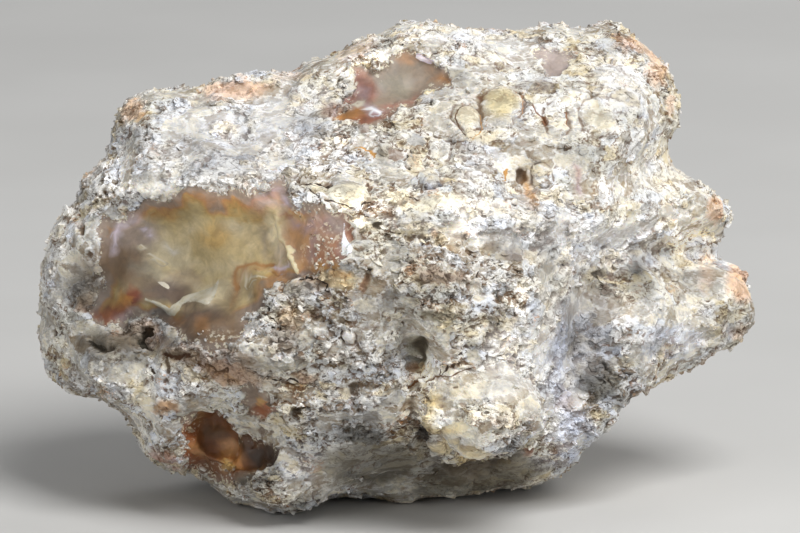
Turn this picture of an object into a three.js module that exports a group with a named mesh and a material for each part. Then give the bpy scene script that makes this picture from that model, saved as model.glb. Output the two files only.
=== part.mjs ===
// A rough nodule of fortification agate: one natural stone, in millimetres, +Z up.
// It stands on a small flat patch at z = 0, with the origin below the middle of its box.
//
// The stone is drawn as it is looked at from the front, a little above the horizon:
// "across" runs to the right, "up" is up in that view, and "deep" runs away from the eye.
// Its body is everything inside the outline, behind the front relief and before the back relief.
// The relief of each side is a broad dome that is swollen and dented by named strokes.
import * as THREE from 'three';
import { ImprovedNoise } from 'three/addons/math/ImprovedNoise.js';

// Driving dimensions

const VIEW_TILT = THREE.MathUtils.degToRad(12); // the front view looks down by this angle
const FRONT_DOME = 20; // the front relief at the heart, before any stroke
const FRONT_BOW = 0.01; // how fast it falls with the square of the way to either end
const FRONT_SLANT = 0.08; // and how much more the right end falls than the left one
const FRONT_LEAN = { above: 0.026, below: 0.005 }; // the top leans back more than the foot
const BACK_DOME = 17; // the same for the back, which is hardly slanted
const BACK_BOW = 0.004;
const BACK_LEAN = 0.005;
const RIM_ROUNDING = 5.5; // how widely the outline's wall runs over into front and back
const WALL_CROWN = 34; // radius by which the wall is crowned between front and back
const WALL_SPARE = 0.25; // what the wall is given to make up for the rounding
const WANDER = 6; // how far the wall may wander off that outline
const WANDER_REACH = 15; // how far from the middle it does so in full
const WANDER_SIZE = 13; // the spacing of its bends
const BASE_HEIGHT = -25.9; // the height of the resting patch, from the heart
const CRAG_SIZE = 8.5; // the spacing of the larger crags
const CRAG_RELIEF = 1.5; // and their relief
const CHIP_SIZE = 4.2; // the spacing of the smaller chips
const CHIP_RELIEF = 0.7; // and their relief
const WALL_CALM = 0.6; // the share of both that the wall loses, so that the outline keeps its line
const FACET = 2.05; // the edge length of the stone's facets

const CRUST_COLOUR = 0xc9c0ac;

// The outline, [across, up] from the heart, clockwise in the front view from the right end

const OUTLINE = [
  [40, -1.3], [37.5, 1.6], [35.8, 2.7], [36.3, 6.1], [33.8, 9.2], [29.5, 10.4],
  [28.9, 13], [30.5, 16.6], [30.6, 18.4], [29.5, 22.6], [24.9, 27.1], [21.1, 26.9],
  [19.7, 26], [16.7, 26.4], [13.4, 25.9], [6.1, 26.4], [3.5, 27.5], [-0.1, 26.9],
  [-2.3, 25], [-5.1, 24.8], [-8, 23], [-10, 22.5], [-11.7, 20.9], [-14, 21.4],
  [-17.3, 20.7], [-20.4, 20.6], [-21.9, 19.5], [-28.7, 19.2], [-30.9, 17.6], [-31.5, 16.1],
  [-32.2, 12.5], [-34.7, 9.9], [-35.6, 7.3], [-37.7, 5.3], [-38.7, 2], [-40, -3.9],
  [-40, -7.3], [-38.8, -12.2], [-36.3, -14.5], [-34.3, -14.5], [-29.8, -16.7], [-28.6, -20.2],
  [-26.6, -22], [-21.9, -23.4], [-18.9, -25.9], [-14.5, -27.4], [-11.2, -27.7], [-7.4, -24.9],
  [-2.5, -25.2], [-0.1, -26.3], [7.4, -25.3], [11.2, -24.2], [14.4, -24], [17.4, -22.9],
  [21.1, -19.2], [24.5, -14.2], [29, -12.9], [34.5, -9.6], [36.9, -9.4], [39.6, -6.5],
];

// The strokes of the front: a swelling is above 0, a dent below it.
// at: its middle, reach: its half widths, turn: its turn in degrees, anticlockwise

const FRONT_STROKES = {
  noseBulge: { at: [3, -3], reach: [15, 12], by: 7 },
  ridgeLeft: { at: [-8, 8.2], reach: [7, 2.6], by: 2.5 },
  ridgeMiddle: { at: [4, 7.2], reach: [7, 2.4], by: 3.5 },
  ridgeRight: { at: [15, 5], reach: [8, 2.4], turn: -10, by: 3 },
  stepAboveRidge: { at: [0, 12], reach: [16, 3], by: -3 },
  upperLeftSlope: { at: [-14, 17], reach: [10, 5], turn: 12, by: -4 },
  mainWindow: { at: [-21, 0.6], reach: [10, 4.8], turn: -8, by: -4.5 },
  windowUpperLip: { at: [-19, 9.2], reach: [10, 2.4], turn: -3, by: 2.5 },
  windowRightLip: { at: [-7, 2.5], reach: [4, 7], by: 3 },
  windowLowerLip: { at: [-18, -9.5], reach: [10, 2.8], turn: 6, by: 2.5 },
  leftEnd: { at: [-33, -4], reach: [9, 12], by: -3 },
  upperWindow: { at: [0, 19.6], reach: [5.6, 3.2], by: -3.5 },
  smallWindow: { at: [16, 22.3], reach: [2.8, 2.2], by: -2 },
  topPeak: { at: [4, 24.5], reach: [5, 2.5], by: 2 },
  rightShoulder: { at: [25, 19], reach: [9, 9], by: 6 },
  plateau: { at: [12, 13], reach: [8, 4], by: 2 },
  valleyTop: { at: [21.5, -1.5], reach: [3.2, 4.5], turn: -20, by: -6 },
  valleyBottom: { at: [19.5, -10], reach: [3.6, 6], by: -8 },
  rightSide: { at: [33, -1], reach: [10, 11], by: -12 },
  rightLobe: { at: [33, -5.5], reach: [8, 5], by: 4.5 },
  rightUpperLobe: { at: [32.5, 6.3], reach: [4.5, 3.2], by: 3.5 },
  lobeCrease: { at: [30, 1.6], reach: [9, 1.6], turn: -5, by: -5 },
  shoulderCrease: { at: [28, 11], reach: [5, 1.5], turn: 10, by: -2.5 },
  recess: { at: [-1, -23.5], reach: [8, 3.8], by: -10 },
  lipOverRecess: { at: [-3, -15.5], reach: [9, 2.6], turn: -4, by: 2 },
  recessUnderKnob: { at: [13, -23.5], reach: [6, 3], by: -3 },
  pocket: { at: [-19, -19], reach: [4.6, 3.2], by: -8 },
  foot: { at: [-12, -25], reach: [6, 3], by: 2 },
  knobNeckPit: { at: [2, -18], reach: [2, 2.4], by: -4 },
  deepPit: { at: [1.2, -9.8], reach: [1.8, 2.8], turn: 10, by: -6 },
  sidePit: { at: [-28, -8.3], reach: [1.8, 2], by: -4 },
  crustPit: { at: [13.4, 9.6], reach: [1.8, 2.2], by: -4 },
  lowerLeftSwelling: { at: [-29, -12], reach: [7, 4], by: 2 },
};

// The strokes of the back, which goes on in the same manner as the front

const BACK_STROKES = {
  backBoss: { at: [-12, 4], reach: [14, 10], by: 5 },
  backShelf: { at: [14, 12], reach: [12, 4], turn: 12, by: 4 },
  backHollow: { at: [9, -4], reach: [9, 6], turn: 20, by: -6 },
  backShoulder: { at: [22, 21], reach: [10, 8], by: 5 },
  backLobe: { at: [31, -3], reach: [10, 8], by: 6 },
  backCleft: { at: [-24, -6], reach: [3, 10], turn: 30, by: -4 },
  backFoot: { at: [4, -18], reach: [18, 6], by: 4 },
  backDimple: { at: [-14, 14], reach: [4, 3], by: -3 },
};

// The cream knob that hangs out over the recess

const KNOB = { at: [9, -15.8, -18.5], reach: [6.8, 5.4, 6.5], blend: 2.2 };

const noise = new ImprovedNoise();

// Where each use of the noise starts, so that no two of them run alike

const CRAG_START = 0;
const CHIP_START = 31;
const SIDEWAYS_START = [7, 3, 11];
const UPWARDS_START = [19, 23, 2];

// Where a point lies in the front view: [across, up, deep]

function inFrontView(x, y, z) {
  const heart = z + BASE_HEIGHT;
  const up = heart * Math.cos(VIEW_TILT) + y * Math.sin(VIEW_TILT);
  const deep = y * Math.cos(VIEW_TILT) - heart * Math.sin(VIEW_TILT);
  return [x, up, deep];
}

// Distance from the outline, negative inside it

function outlineDistance(across, up) {
  let nearest = Infinity;
  let inside = false;
  for (let i = 0, j = OUTLINE.length - 1; i < OUTLINE.length; j = i++) {
    const [x0, y0] = OUTLINE[j];
    const [x1, y1] = OUTLINE[i];
    const alongX = x1 - x0;
    const alongY = y1 - y0;
    const share = ((across - x0) * alongX + (up - y0) * alongY) / (alongX ** 2 + alongY ** 2);
    const foot = THREE.MathUtils.clamp(share, 0, 1);
    nearest = Math.min(nearest, Math.hypot(across - x0 - foot * alongX, up - y0 - foot * alongY));
    if (y0 > up !== y1 > up && across < x0 + ((up - y0) / alongY) * alongX) inside = !inside;
  }
  return inside ? -nearest : nearest;
}

// One stroke's height at a place: a bell over its turned reach

function strokeHeight({ at, reach, turn = 0, by }, across, up) {
  const angle = THREE.MathUtils.degToRad(turn);
  const dx = across - at[0];
  const dy = up - at[1];
  const along = (dx * Math.cos(angle) + dy * Math.sin(angle)) / reach[0];
  const over = (dy * Math.cos(angle) - dx * Math.sin(angle)) / reach[1];
  return by * Math.exp(-(along ** 2 + over ** 2));
}

function sumOfStrokes(strokes, across, up) {
  return Object.values(strokes).reduce((sum, stroke) => sum + strokeHeight(stroke, across, up), 0);
}

// How far the front comes towards the eye, and how far the back goes from it

function frontRelief(across, up) {
  const lean = up > 0 ? FRONT_LEAN.above : FRONT_LEAN.below;
  const dome = FRONT_DOME - FRONT_BOW * across ** 2 - FRONT_SLANT * across - lean * up ** 2;
  return dome + sumOfStrokes(FRONT_STROKES, across, up);
}

function backRelief(across, up) {
  const dome = BACK_DOME - BACK_BOW * across ** 2 - BACK_LEAN * up ** 2;
  return dome + sumOfStrokes(BACK_STROKES, across, up);
}

// The larger of two values, run over into each other where they are nearly the same

function softMax(a, b, width) {
  const near = Math.max(width - Math.abs(a - b), 0) / width;
  return Math.max(a, b) + (near * near * width) / 4;
}

const softMin = (a, b, width) => -softMax(-a, -b, width);

// About how far a point is outside an ellipsoid, negative inside it

function ellipsoid({ at, reach }, across, up, deep) {
  const offset = [across - at[0], up - at[1], deep - at[2]];
  const stretched = Math.hypot(...offset.map((value, i) => value / reach[i]));
  const steep = Math.hypot(...offset.map((value, i) => value / reach[i] ** 2));
  return steep > 0 ? (stretched * (stretched - 1)) / steep : -Math.min(...reach);
}

// Rounded crags with creases between them, about as much above 0 as below it

const CREASE_LEVEL = 0.45;

function crags(point, size, start) {
  const [x, y, z] = point.map((value) => (value + start) / size);
  return 2 * Math.abs(noise.noise(x, y, z)) - CREASE_LEVEL;
}

// The wall wanders between front and back, so that no notch of the outline runs straight through:
// nothing moves in the middle, where the outline is seen, and most near the front and the back

function bend(across, up, deep, middle) {
  const away = THREE.MathUtils.smoothstep(Math.abs(deep - middle), 0, WANDER_REACH);
  const place = [across / WANDER_SIZE, up / WANDER_SIZE, deep / WANDER_SIZE];
  const sideways = noise.noise(...place.map((value, axis) => value + SIDEWAYS_START[axis]));
  const upwards = noise.noise(...place.map((value, axis) => value + UPWARDS_START[axis]));
  return [across + WANDER * away * sideways, up + WANDER * away * upwards];
}

// How far a point is outside the stone, negative inside it: the reliefs are steep, so a depth
// counts as less than a distance

const SLOPE = 0.75;

function distance(x, y, z) {
  const [across, up, deep] = inFrontView(x, y, z);
  const front = frontRelief(across, up);
  const back = backRelief(across, up);
  const middle = (back - front) / 2;
  const crown = (deep - middle) ** 2 / (2 * WALL_CROWN);
  const [bentAcross, bentUp] = bend(across, up, deep, middle);
  const wall = outlineDistance(bentAcross, bentUp) + crown - WALL_SPARE;
  const faces = SLOPE * Math.max(-deep - front, deep - back);
  const onWall = THREE.MathUtils.smoothstep(wall - faces, 0, RIM_ROUNDING);
  let stone = softMax(wall, SLOPE * (-deep - front), RIM_ROUNDING);
  stone = softMax(stone, SLOPE * (deep - back), RIM_ROUNDING);
  stone = softMin(stone, ellipsoid(KNOB, across, up, deep), KNOB.blend);
  const large = CRAG_RELIEF * crags([x, y, z], CRAG_SIZE, CRAG_START);
  const small = CHIP_RELIEF * crags([x, y, z], CHIP_SIZE, CHIP_START);
  stone -= (large + small) * (1 - WALL_CALM * onWall);
  return Math.max(stone, -z);
}

// The grid that the surface is found on, wide enough for the whole stone: half a cell of it lies
// below the resting patch

const GRID = {
  low: [-21.3 * FACET, -17.3 * FACET, -0.5 * FACET],
  count: [44, 36, 30],
};

// How the vertices are evened out on the surface

const RELAX_ROUNDS = 5;
const LEAST_SLOPE = 0.3; // where the distance grows slower than this, a point moves with care
const LONGEST_MOVE = 0.4 * FACET;
const SNAP = 0.05; // a vertex this near to the resting plane lies on it

function gridPoint(i, j, k) {
  return [GRID.low[0] + i * FACET, GRID.low[1] + j * FACET, GRID.low[2] + k * FACET];
}

function sampleGrid() {
  const [nx, ny, nz] = GRID.count;
  const values = new Float64Array(nx * ny * nz);
  for (let k = 0, at = 0; k < nz; k++) {
    for (let j = 0; j < ny; j++) {
      for (let i = 0; i < nx; i++, at++) values[at] = distance(...gridPoint(i, j, k));
    }
  }
  untangle(values);
  return values;
}

// Where the corners of a grid face lie inside and outside by turns, four facets would meet on one
// edge, so the corner that is nearest to the surface changes sides

function untangle(values) {
  const [nx, ny, nz] = GRID.count;
  const steps = [1, nx, nx * ny];
  const hair = 1e-3;
  for (let k = 0, at = 0; k < nz; k++) {
    for (let j = 0; j < ny; j++) {
      for (let i = 0; i < nx; i++, at++) {
        for (const [u, v] of [[0, 1], [1, 2], [2, 0]]) {
          const face = [at, at + steps[u], at + steps[u] + steps[v], at + steps[v]];
          const inside = face.map((corner) => values[corner] < 0);
          if (inside[0] !== inside[2] || inside[1] !== inside[3] || inside[0] === inside[1]) continue;
          const nearest = face.reduce((a, b) => (Math.abs(values[a]) < Math.abs(values[b]) ? a : b));
          values[nearest] = values[nearest] < 0 ? hair : -hair;
        }
      }
    }
  }
}

// Moves a point onto the surface, along the steepest way

function settle([x, y, z]) {
  const step = FACET / 40;
  const here = distance(x, y, z);
  const slope = [
    (distance(x + step, y, z) - here) / step,
    (distance(x, y + step, z) - here) / step,
    (distance(x, y, z + step) - here) / step,
  ];
  const steep = Math.max(slope[0] ** 2 + slope[1] ** 2 + slope[2] ** 2, LEAST_SLOPE);
  const move = THREE.MathUtils.clamp(here / steep, -LONGEST_MOVE, LONGEST_MOVE);
  return [x - slope[0] * move, y - slope[1] * move, z - slope[2] * move];
}

// Evens out the facets: each vertex goes half of the way to the middle of its neighbours, and then
// back onto the surface

function relax(positions, triangles) {
  const count = positions.length / 3;
  const sums = new Float64Array(positions.length);
  const degrees = new Float64Array(count);
  for (let t = 0; t < triangles.length; t += 3) {
    for (let corner = 0; corner < 3; corner++) {
      const from = triangles[t + corner];
      const to = triangles[t + ((corner + 1) % 3)];
      for (let axis = 0; axis < 3; axis++) sums[3 * to + axis] += positions[3 * from + axis];
      degrees[to] += 1;
    }
  }
  for (let n = 0; n < count; n++) {
    const halfway = [0, 1, 2].map((axis) => {
      return (positions[3 * n + axis] + sums[3 * n + axis] / degrees[n]) / 2;
    });
    const settled = settle(halfway);
    if (Math.abs(settled[2]) < SNAP) settled[2] = 0;
    for (let axis = 0; axis < 3; axis++) positions[3 * n + axis] = settled[axis];
  }
}

// One vertex for each cell that the surface runs through, and one quad across each grid edge
// that it cuts, each split along its shorter diagonal

const CORNERS = [0, 1].flatMap((k) => [0, 1].flatMap((j) => [0, 1].map((i) => [i, j, k])));

function surfaceOfStone() {
  const [nx, ny, nz] = GRID.count;
  const values = sampleGrid();
  const index = (i, j, k) => i + nx * (j + ny * k);
  const vertexOf = new Map();
  const positions = [];
  const triangles = [];

  function cellVertex(i, j, k) {
    const crossings = [];
    for (const a of CORNERS) {
      for (const b of CORNERS) {
        const apart = b[0] - a[0] + b[1] - a[1] + b[2] - a[2];
        const isEdge = apart === 1 && a.every((value, axis) => b[axis] >= value);
        if (!isEdge) continue;
        const va = values[index(i + a[0], j + a[1], k + a[2])];
        const vb = values[index(i + b[0], j + b[1], k + b[2])];
        if (va < 0 === vb < 0) continue;
        const share = va / (va - vb);
        crossings.push(a.map((value, axis) => value + share * (b[axis] - value)));
      }
    }
    if (crossings.length === 0) return;
    const mean = [0, 1, 2].map((axis) => crossings.reduce((s, c) => s + c[axis], 0) / crossings.length);
    vertexOf.set(index(i, j, k), positions.length / 3);
    positions.push(...gridPoint(i + mean[0], j + mean[1], k + mean[2]));
  }

  const place = (n) => new THREE.Vector3().fromArray(positions, 3 * n);

  function addQuad(a, b, c, d) {
    const acrossFirst = place(a).distanceTo(place(c)) < place(b).distanceTo(place(d));
    triangles.push(...(acrossFirst ? [a, b, c, a, c, d] : [b, c, d, b, d, a]));
  }

  function addQuadsAt(i, j, k) {
    const here = values[index(i, j, k)] < 0;
    for (let axis = 0; axis < 3; axis++) {
      const step = [0, 0, 0];
      step[axis] = 1;
      const there = values[index(i + step[0], j + step[1], k + step[2])] < 0;
      if (here === there) continue;
      const u = [0, 0, 0];
      const v = [0, 0, 0];
      u[(axis + 1) % 3] = 1;
      v[(axis + 2) % 3] = 1;
      const around = [
        [i - u[0] - v[0], j - u[1] - v[1], k - u[2] - v[2]],
        [i - v[0], j - v[1], k - v[2]],
        [i, j, k],
        [i - u[0], j - u[1], k - u[2]],
      ].map((cell) => vertexOf.get(index(...cell)));
      addQuad(...(here ? around : around.reverse()));
    }
  }

  for (let k = 0; k < nz - 1; k++) {
    for (let j = 0; j < ny - 1; j++) {
      for (let i = 0; i < nx - 1; i++) cellVertex(i, j, k);
    }
  }
  for (let k = 0; k < nz - 1; k++) {
    for (let j = 1; j < ny - 1; j++) {
      for (let i = 1; i < nx - 1; i++) addQuadsAt(i, j, k);
    }
  }

  for (let round = 0; round < RELAX_ROUNDS; round++) relax(positions, triangles);

  const geometry = new THREE.BufferGeometry();
  geometry.setAttribute('position', new THREE.Float32BufferAttribute(positions, 3));
  geometry.setIndex(triangles);
  return geometry;
}

function makeStone() {
  const geometry = surfaceOfStone();
  geometry.computeBoundingBox();
  const middle = geometry.boundingBox.getCenter(new THREE.Vector3());
  geometry.computeVertexNormals();
  const crust = new THREE.MeshStandardMaterial({
    color: CRUST_COLOUR,
    roughness: 0.85,
    metalness: 0,
    flatShading: true,
  });
  const mesh = new THREE.Mesh(geometry, crust);
  mesh.name = 'agate_nodule';
  mesh.position.set(-middle.x, -middle.y, 0);
  return mesh;
}

const agate = new THREE.Group();
agate.add(makeStone());

export default agate;
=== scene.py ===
import math
import bpy
import numpy as np
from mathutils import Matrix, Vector
from mathutils.kdtree import KDTree


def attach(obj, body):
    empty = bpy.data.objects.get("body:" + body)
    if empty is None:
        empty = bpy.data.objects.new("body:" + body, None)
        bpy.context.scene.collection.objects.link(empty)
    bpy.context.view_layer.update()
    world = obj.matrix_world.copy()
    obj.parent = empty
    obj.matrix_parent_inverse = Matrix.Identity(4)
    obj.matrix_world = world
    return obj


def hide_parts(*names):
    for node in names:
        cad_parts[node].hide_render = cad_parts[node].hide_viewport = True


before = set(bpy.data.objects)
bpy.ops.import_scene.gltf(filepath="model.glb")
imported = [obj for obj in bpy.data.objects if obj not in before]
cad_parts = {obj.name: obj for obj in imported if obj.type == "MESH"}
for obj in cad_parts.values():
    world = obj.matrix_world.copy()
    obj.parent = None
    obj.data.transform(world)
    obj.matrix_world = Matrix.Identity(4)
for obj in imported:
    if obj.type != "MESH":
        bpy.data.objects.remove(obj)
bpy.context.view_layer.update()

# The looks of a rough nodule of fortification agate: one stone with a chalky, craggy crust and
# waxy windows of banded chalcedony. Shapes are worked out in millimetres in the frame's axes.
# Marks are placed in flat views of the stone: (across, up) in millimetres from the stone's heart.

NODE = "agate_nodule"
MM = 0.001

# The views that marks are placed in

VIEW_TILT = math.radians(12)
HEART = np.array((0.234, 2.758, 25.9))
ACROSS_AXIS = np.array((1.0, 0.0, 0.0))
UP_AXIS = np.array((0.0, math.sin(VIEW_TILT), math.cos(VIEW_TILT)))
DEEP_AXIS = np.array((0.0, math.cos(VIEW_TILT), -math.sin(VIEW_TILT)))
VIEWS = {
    "front": (ACROSS_AXIS, UP_AXIS, DEEP_AXIS),
    "back": (np.array((-1.0, 0, 0)), np.array((0, 0, 1.0)), np.array((0, -1.0, 0))),
    "left": (np.array((0, -1.0, 0)), np.array((0, 0, 1.0)), np.array((1.0, 0, 0))),
    "right": (np.array((0, 1.0, 0)), np.array((0, 0, 1.0)), np.array((-1.0, 0, 0))),
    "top": (np.array((1.0, 0, 0)), np.array((0, 1.0, 0)), np.array((0, 0, -1.0))),
}

# How fine the mesh is, and the small chips on it

SUBDIVISIONS = 3
FACE_LIMIT = 199_000
CHIP_COUNT = 9_500
CHIP_SIDES = 6
CHIP_CORNERS = 2 * CHIP_SIDES + 1
CHIP_FREE_HEIGHT = 0.9  # no chips lower than this above the floor
CHIP_ROOT = 0.3  # how deep a chip's lower ring lies in the stone

# The relief, in millimetres

RIM_TEETH = 0.75  # how ragged the windows' rims are
WINDOW_DROP = 0.45  # how much lower than the crust the windows lie
BARE_DROP = 0.12
PIT_DEPTH = 1.1
SIDEWAYS = 0.25  # how far the relief also leans sideways
FLAT_PATCH = 0.02  # what is lower than this belongs to the patch that the stone rests on
FAR_OUTSIDE = -9.0
LINE_MARGIN = 4.0  # how far from a line its distance is still worked out
PLATE_MARGIN = 2.0

# The camera

CAMERA_DISTANCE = 1.0
PICTURE_WIDTH = 0.0886  # what the frame spans at the heart
SENSOR_WIDTH = 36.0
HEART_OFFSET = (-0.1, -0.17)  # the frame's middle from the heart, in mm across and up

# The soft lights: place and size in metres, power in watts

LIGHTS = {
    "key": ((0.28, -0.38, 0.69), 0.45, 6.9),
    "fill": ((0.7, -0.6, 0.45), 0.6, 2.3),
    "left_fill": ((-0.6, -0.75, 0.35), 0.6, 2.25),
    "rim": ((0.3, 0.6, 0.5), 0.4, 1.3),
}
SURROUNDING_LIGHT = 0.19

# Colours, as a screen shows them

PALETTE = {
    "white": (0.93, 0.925, 0.91),
    "cream": (0.92, 0.895, 0.81),
    "ivory": (0.86, 0.825, 0.74),
    "pale_yellow": (0.89, 0.83, 0.68),
    "blue_white": (0.895, 0.90, 0.915),
    "grey": (0.66, 0.65, 0.63),
    "blue_grey": (0.73, 0.73, 0.74),
    "slate": (0.47, 0.48, 0.52),
    "taupe": (0.58, 0.51, 0.455),
    "smoke": (0.50, 0.43, 0.37),
    "deep_smoke": (0.44, 0.37, 0.315),
    "olive_grey": (0.60, 0.58, 0.51),
    # shadow_olive is painted shade, laid under ledges and the knob, in the recess, the valley, holes and
    # hollows
    "shadow_olive": (0.40, 0.38, 0.33),
    "honey": (0.80, 0.66, 0.40),
    "olive_cream": (0.80, 0.71, 0.50),
    "pale_olive": (0.87, 0.81, 0.67),
    "amber": (0.70, 0.49, 0.28),
    "caramel": (0.76, 0.58, 0.39),
    "ochre": (0.74, 0.55, 0.30),
    "orange": (0.84, 0.62, 0.30),
    "rust": (0.60, 0.37, 0.23),
    "red_rust": (0.53, 0.24, 0.12),
    "tan": (0.66, 0.52, 0.40),
    "brown": (0.38, 0.28, 0.19),
    "deep_brown": (0.36, 0.23, 0.12),
    "dark_olive": (0.28, 0.23, 0.14),
    "umber": (0.20, 0.14, 0.09),
    "mauve": (0.68, 0.58, 0.58),
    "lilac": (0.80, 0.75, 0.79),
    "rose": (0.78, 0.62, 0.57),
    "rust_line": (0.50, 0.34, 0.23),
    "light_taupe": (0.66, 0.59, 0.53),
    "rose_taupe": (0.70, 0.64, 0.61),
    "peach": (0.92, 0.77, 0.65),
    "bright": (0.96, 0.97, 0.98),
    "gap_brown": (0.40, 0.28, 0.16),
    "rust_brown": (0.44, 0.27, 0.13),
    "rust_fleck": (0.70, 0.48, 0.26),
    "cool_light": (0.90, 0.93, 0.99),
    "olive_taupe": (0.59, 0.545, 0.475),
    "wax": (0.76, 0.73, 0.635),
    "disc": (0.80, 0.76, 0.63),
    "pale_disc": (0.86, 0.835, 0.75),
    "window_grey": (0.56, 0.505, 0.445),
    "rose_brown": (0.66, 0.47, 0.41),
    "window_brown": (0.52, 0.445, 0.345),
    "cold_grey": (0.68, 0.70, 0.76),
    "warm_smoke": (0.47, 0.37, 0.26),
}

# The tables of marks, each by the view that its marks are placed in. Colours are laid in the tables'
# order. Where a mark is turned, its row ends with the turn in degrees.

# The windows' outlines: where the crust is broken away and the waxy chalcedony shows

WINDOWS = {"front": [
    [  # the large one
        (-33.4, 0.8), (-32.8, 4.6), (-30.6, 5.6), (-28.6, 7.2), (-25.8, 6.7), (-23.6, 8.6),
        (-21.4, 8.2), (-20.3, 6.8), (-19.0, 8.6), (-16.8, 7.6), (-14.7, 9.2), (-12.5, 10.0),
        (-12.3, 8.4), (-11.6, 6.9), (-8.0, 6.6), (-7.2, 5.4), (-5.8, 5.2), (-4.8, 4.4), (-5.0, 3.0),
        (-5.8, 2.2), (-5.6, 1.2), (-6.8, 0.8), (-6.6, 0.0), (-8.4, -1.0), (-11.3, -1.3), (-14.2, -2.9),
        (-15.1, -5.0), (-17.1, -6.4), (-18.1, -8.4), (-19.5, -9.4), (-21.7, -9.2), (-24.3, -7.2),
        (-26.7, -6.2), (-29.1, -6.0), (-34.1, -6.2), (-34.7, -4.8), (-33.5, -2.1),
    ],
    [  # the one near the top
        (-1.4, 23.2), (0.3, 23.9), (1.9, 22.9), (4.1, 21.9), (7.0, 20.8), (5.4, 19.6), (3.1, 19.4),
        (1.9, 18.6), (-0.7, 16.5), (-3.2, 15.8), (-7.5, 16.1), (-7.3, 17.3), (-6.0, 17.8), (-5.3, 19.8),
        (-4.8, 21.4), (-3.2, 21.9), (-2.0, 20.9),
    ],
    [  # a small rosy one to the right of it
        (15.5, 24.2), (17.5, 23.8), (19.1, 23.4), (18.3, 22.0), (17.5, 21.4), (16.0, 20.6),
        (15.0, 21.2), (14.7, 22.4),
    ],
    [  # the brown pocket
        (-24.3, -17.4), (-22.0, -16.0), (-19.9, -16.0), (-18.9, -17.0), (-17.9, -18.8),
        (-15.1, -19.8), (-13.6, -20.1), (-14.1, -22.0), (-16.1, -23.2), (-16.3, -24.9),
        (-17.9, -24.0), (-19.8, -24.7), (-21.4, -23.4), (-23.2, -22.7), (-23.6, -21.1),
        (-23.2, -19.4),
    ],
    [  # a chink over the pocket
        (-17.5, -13.1), (-15.4, -13.2), (-14.3, -15.0), (-13.2, -16.3), (-14.7, -17.1),
        (-16.7, -16.7), (-17.5, -15.2),
    ],
], "back": [
    [
        (-6.0, 1.5), (-3.8, 5.2), (-0.6, 6.6), (2.4, 6.0), (4.6, 8.0), (8.2, 8.6), (10.8, 6.4),
        (13.6, 5.6), (14.6, 2.2), (12.4, -0.4), (12.8, -3.0), (9.6, -4.8), (5.8, -4.2), (3.0, -6.0),
        (-0.4, -5.4), (-2.6, -2.6), (-5.2, -1.6),
    ],
    [(-26.4, 9.6), (-23.6, 11.8), (-20.4, 11.0), (-18.8, 8.4), (-20.6, 6.2), (-24.0, 6.4)],
    [(20.2, -10.4), (23.0, -8.4), (26.4, -9.4), (27.2, -12.2), (24.4, -14.2), (21.4, -13.4)],
]}

# Soft ovals of colour: middle, reach, colour, how fully they cover

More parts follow.
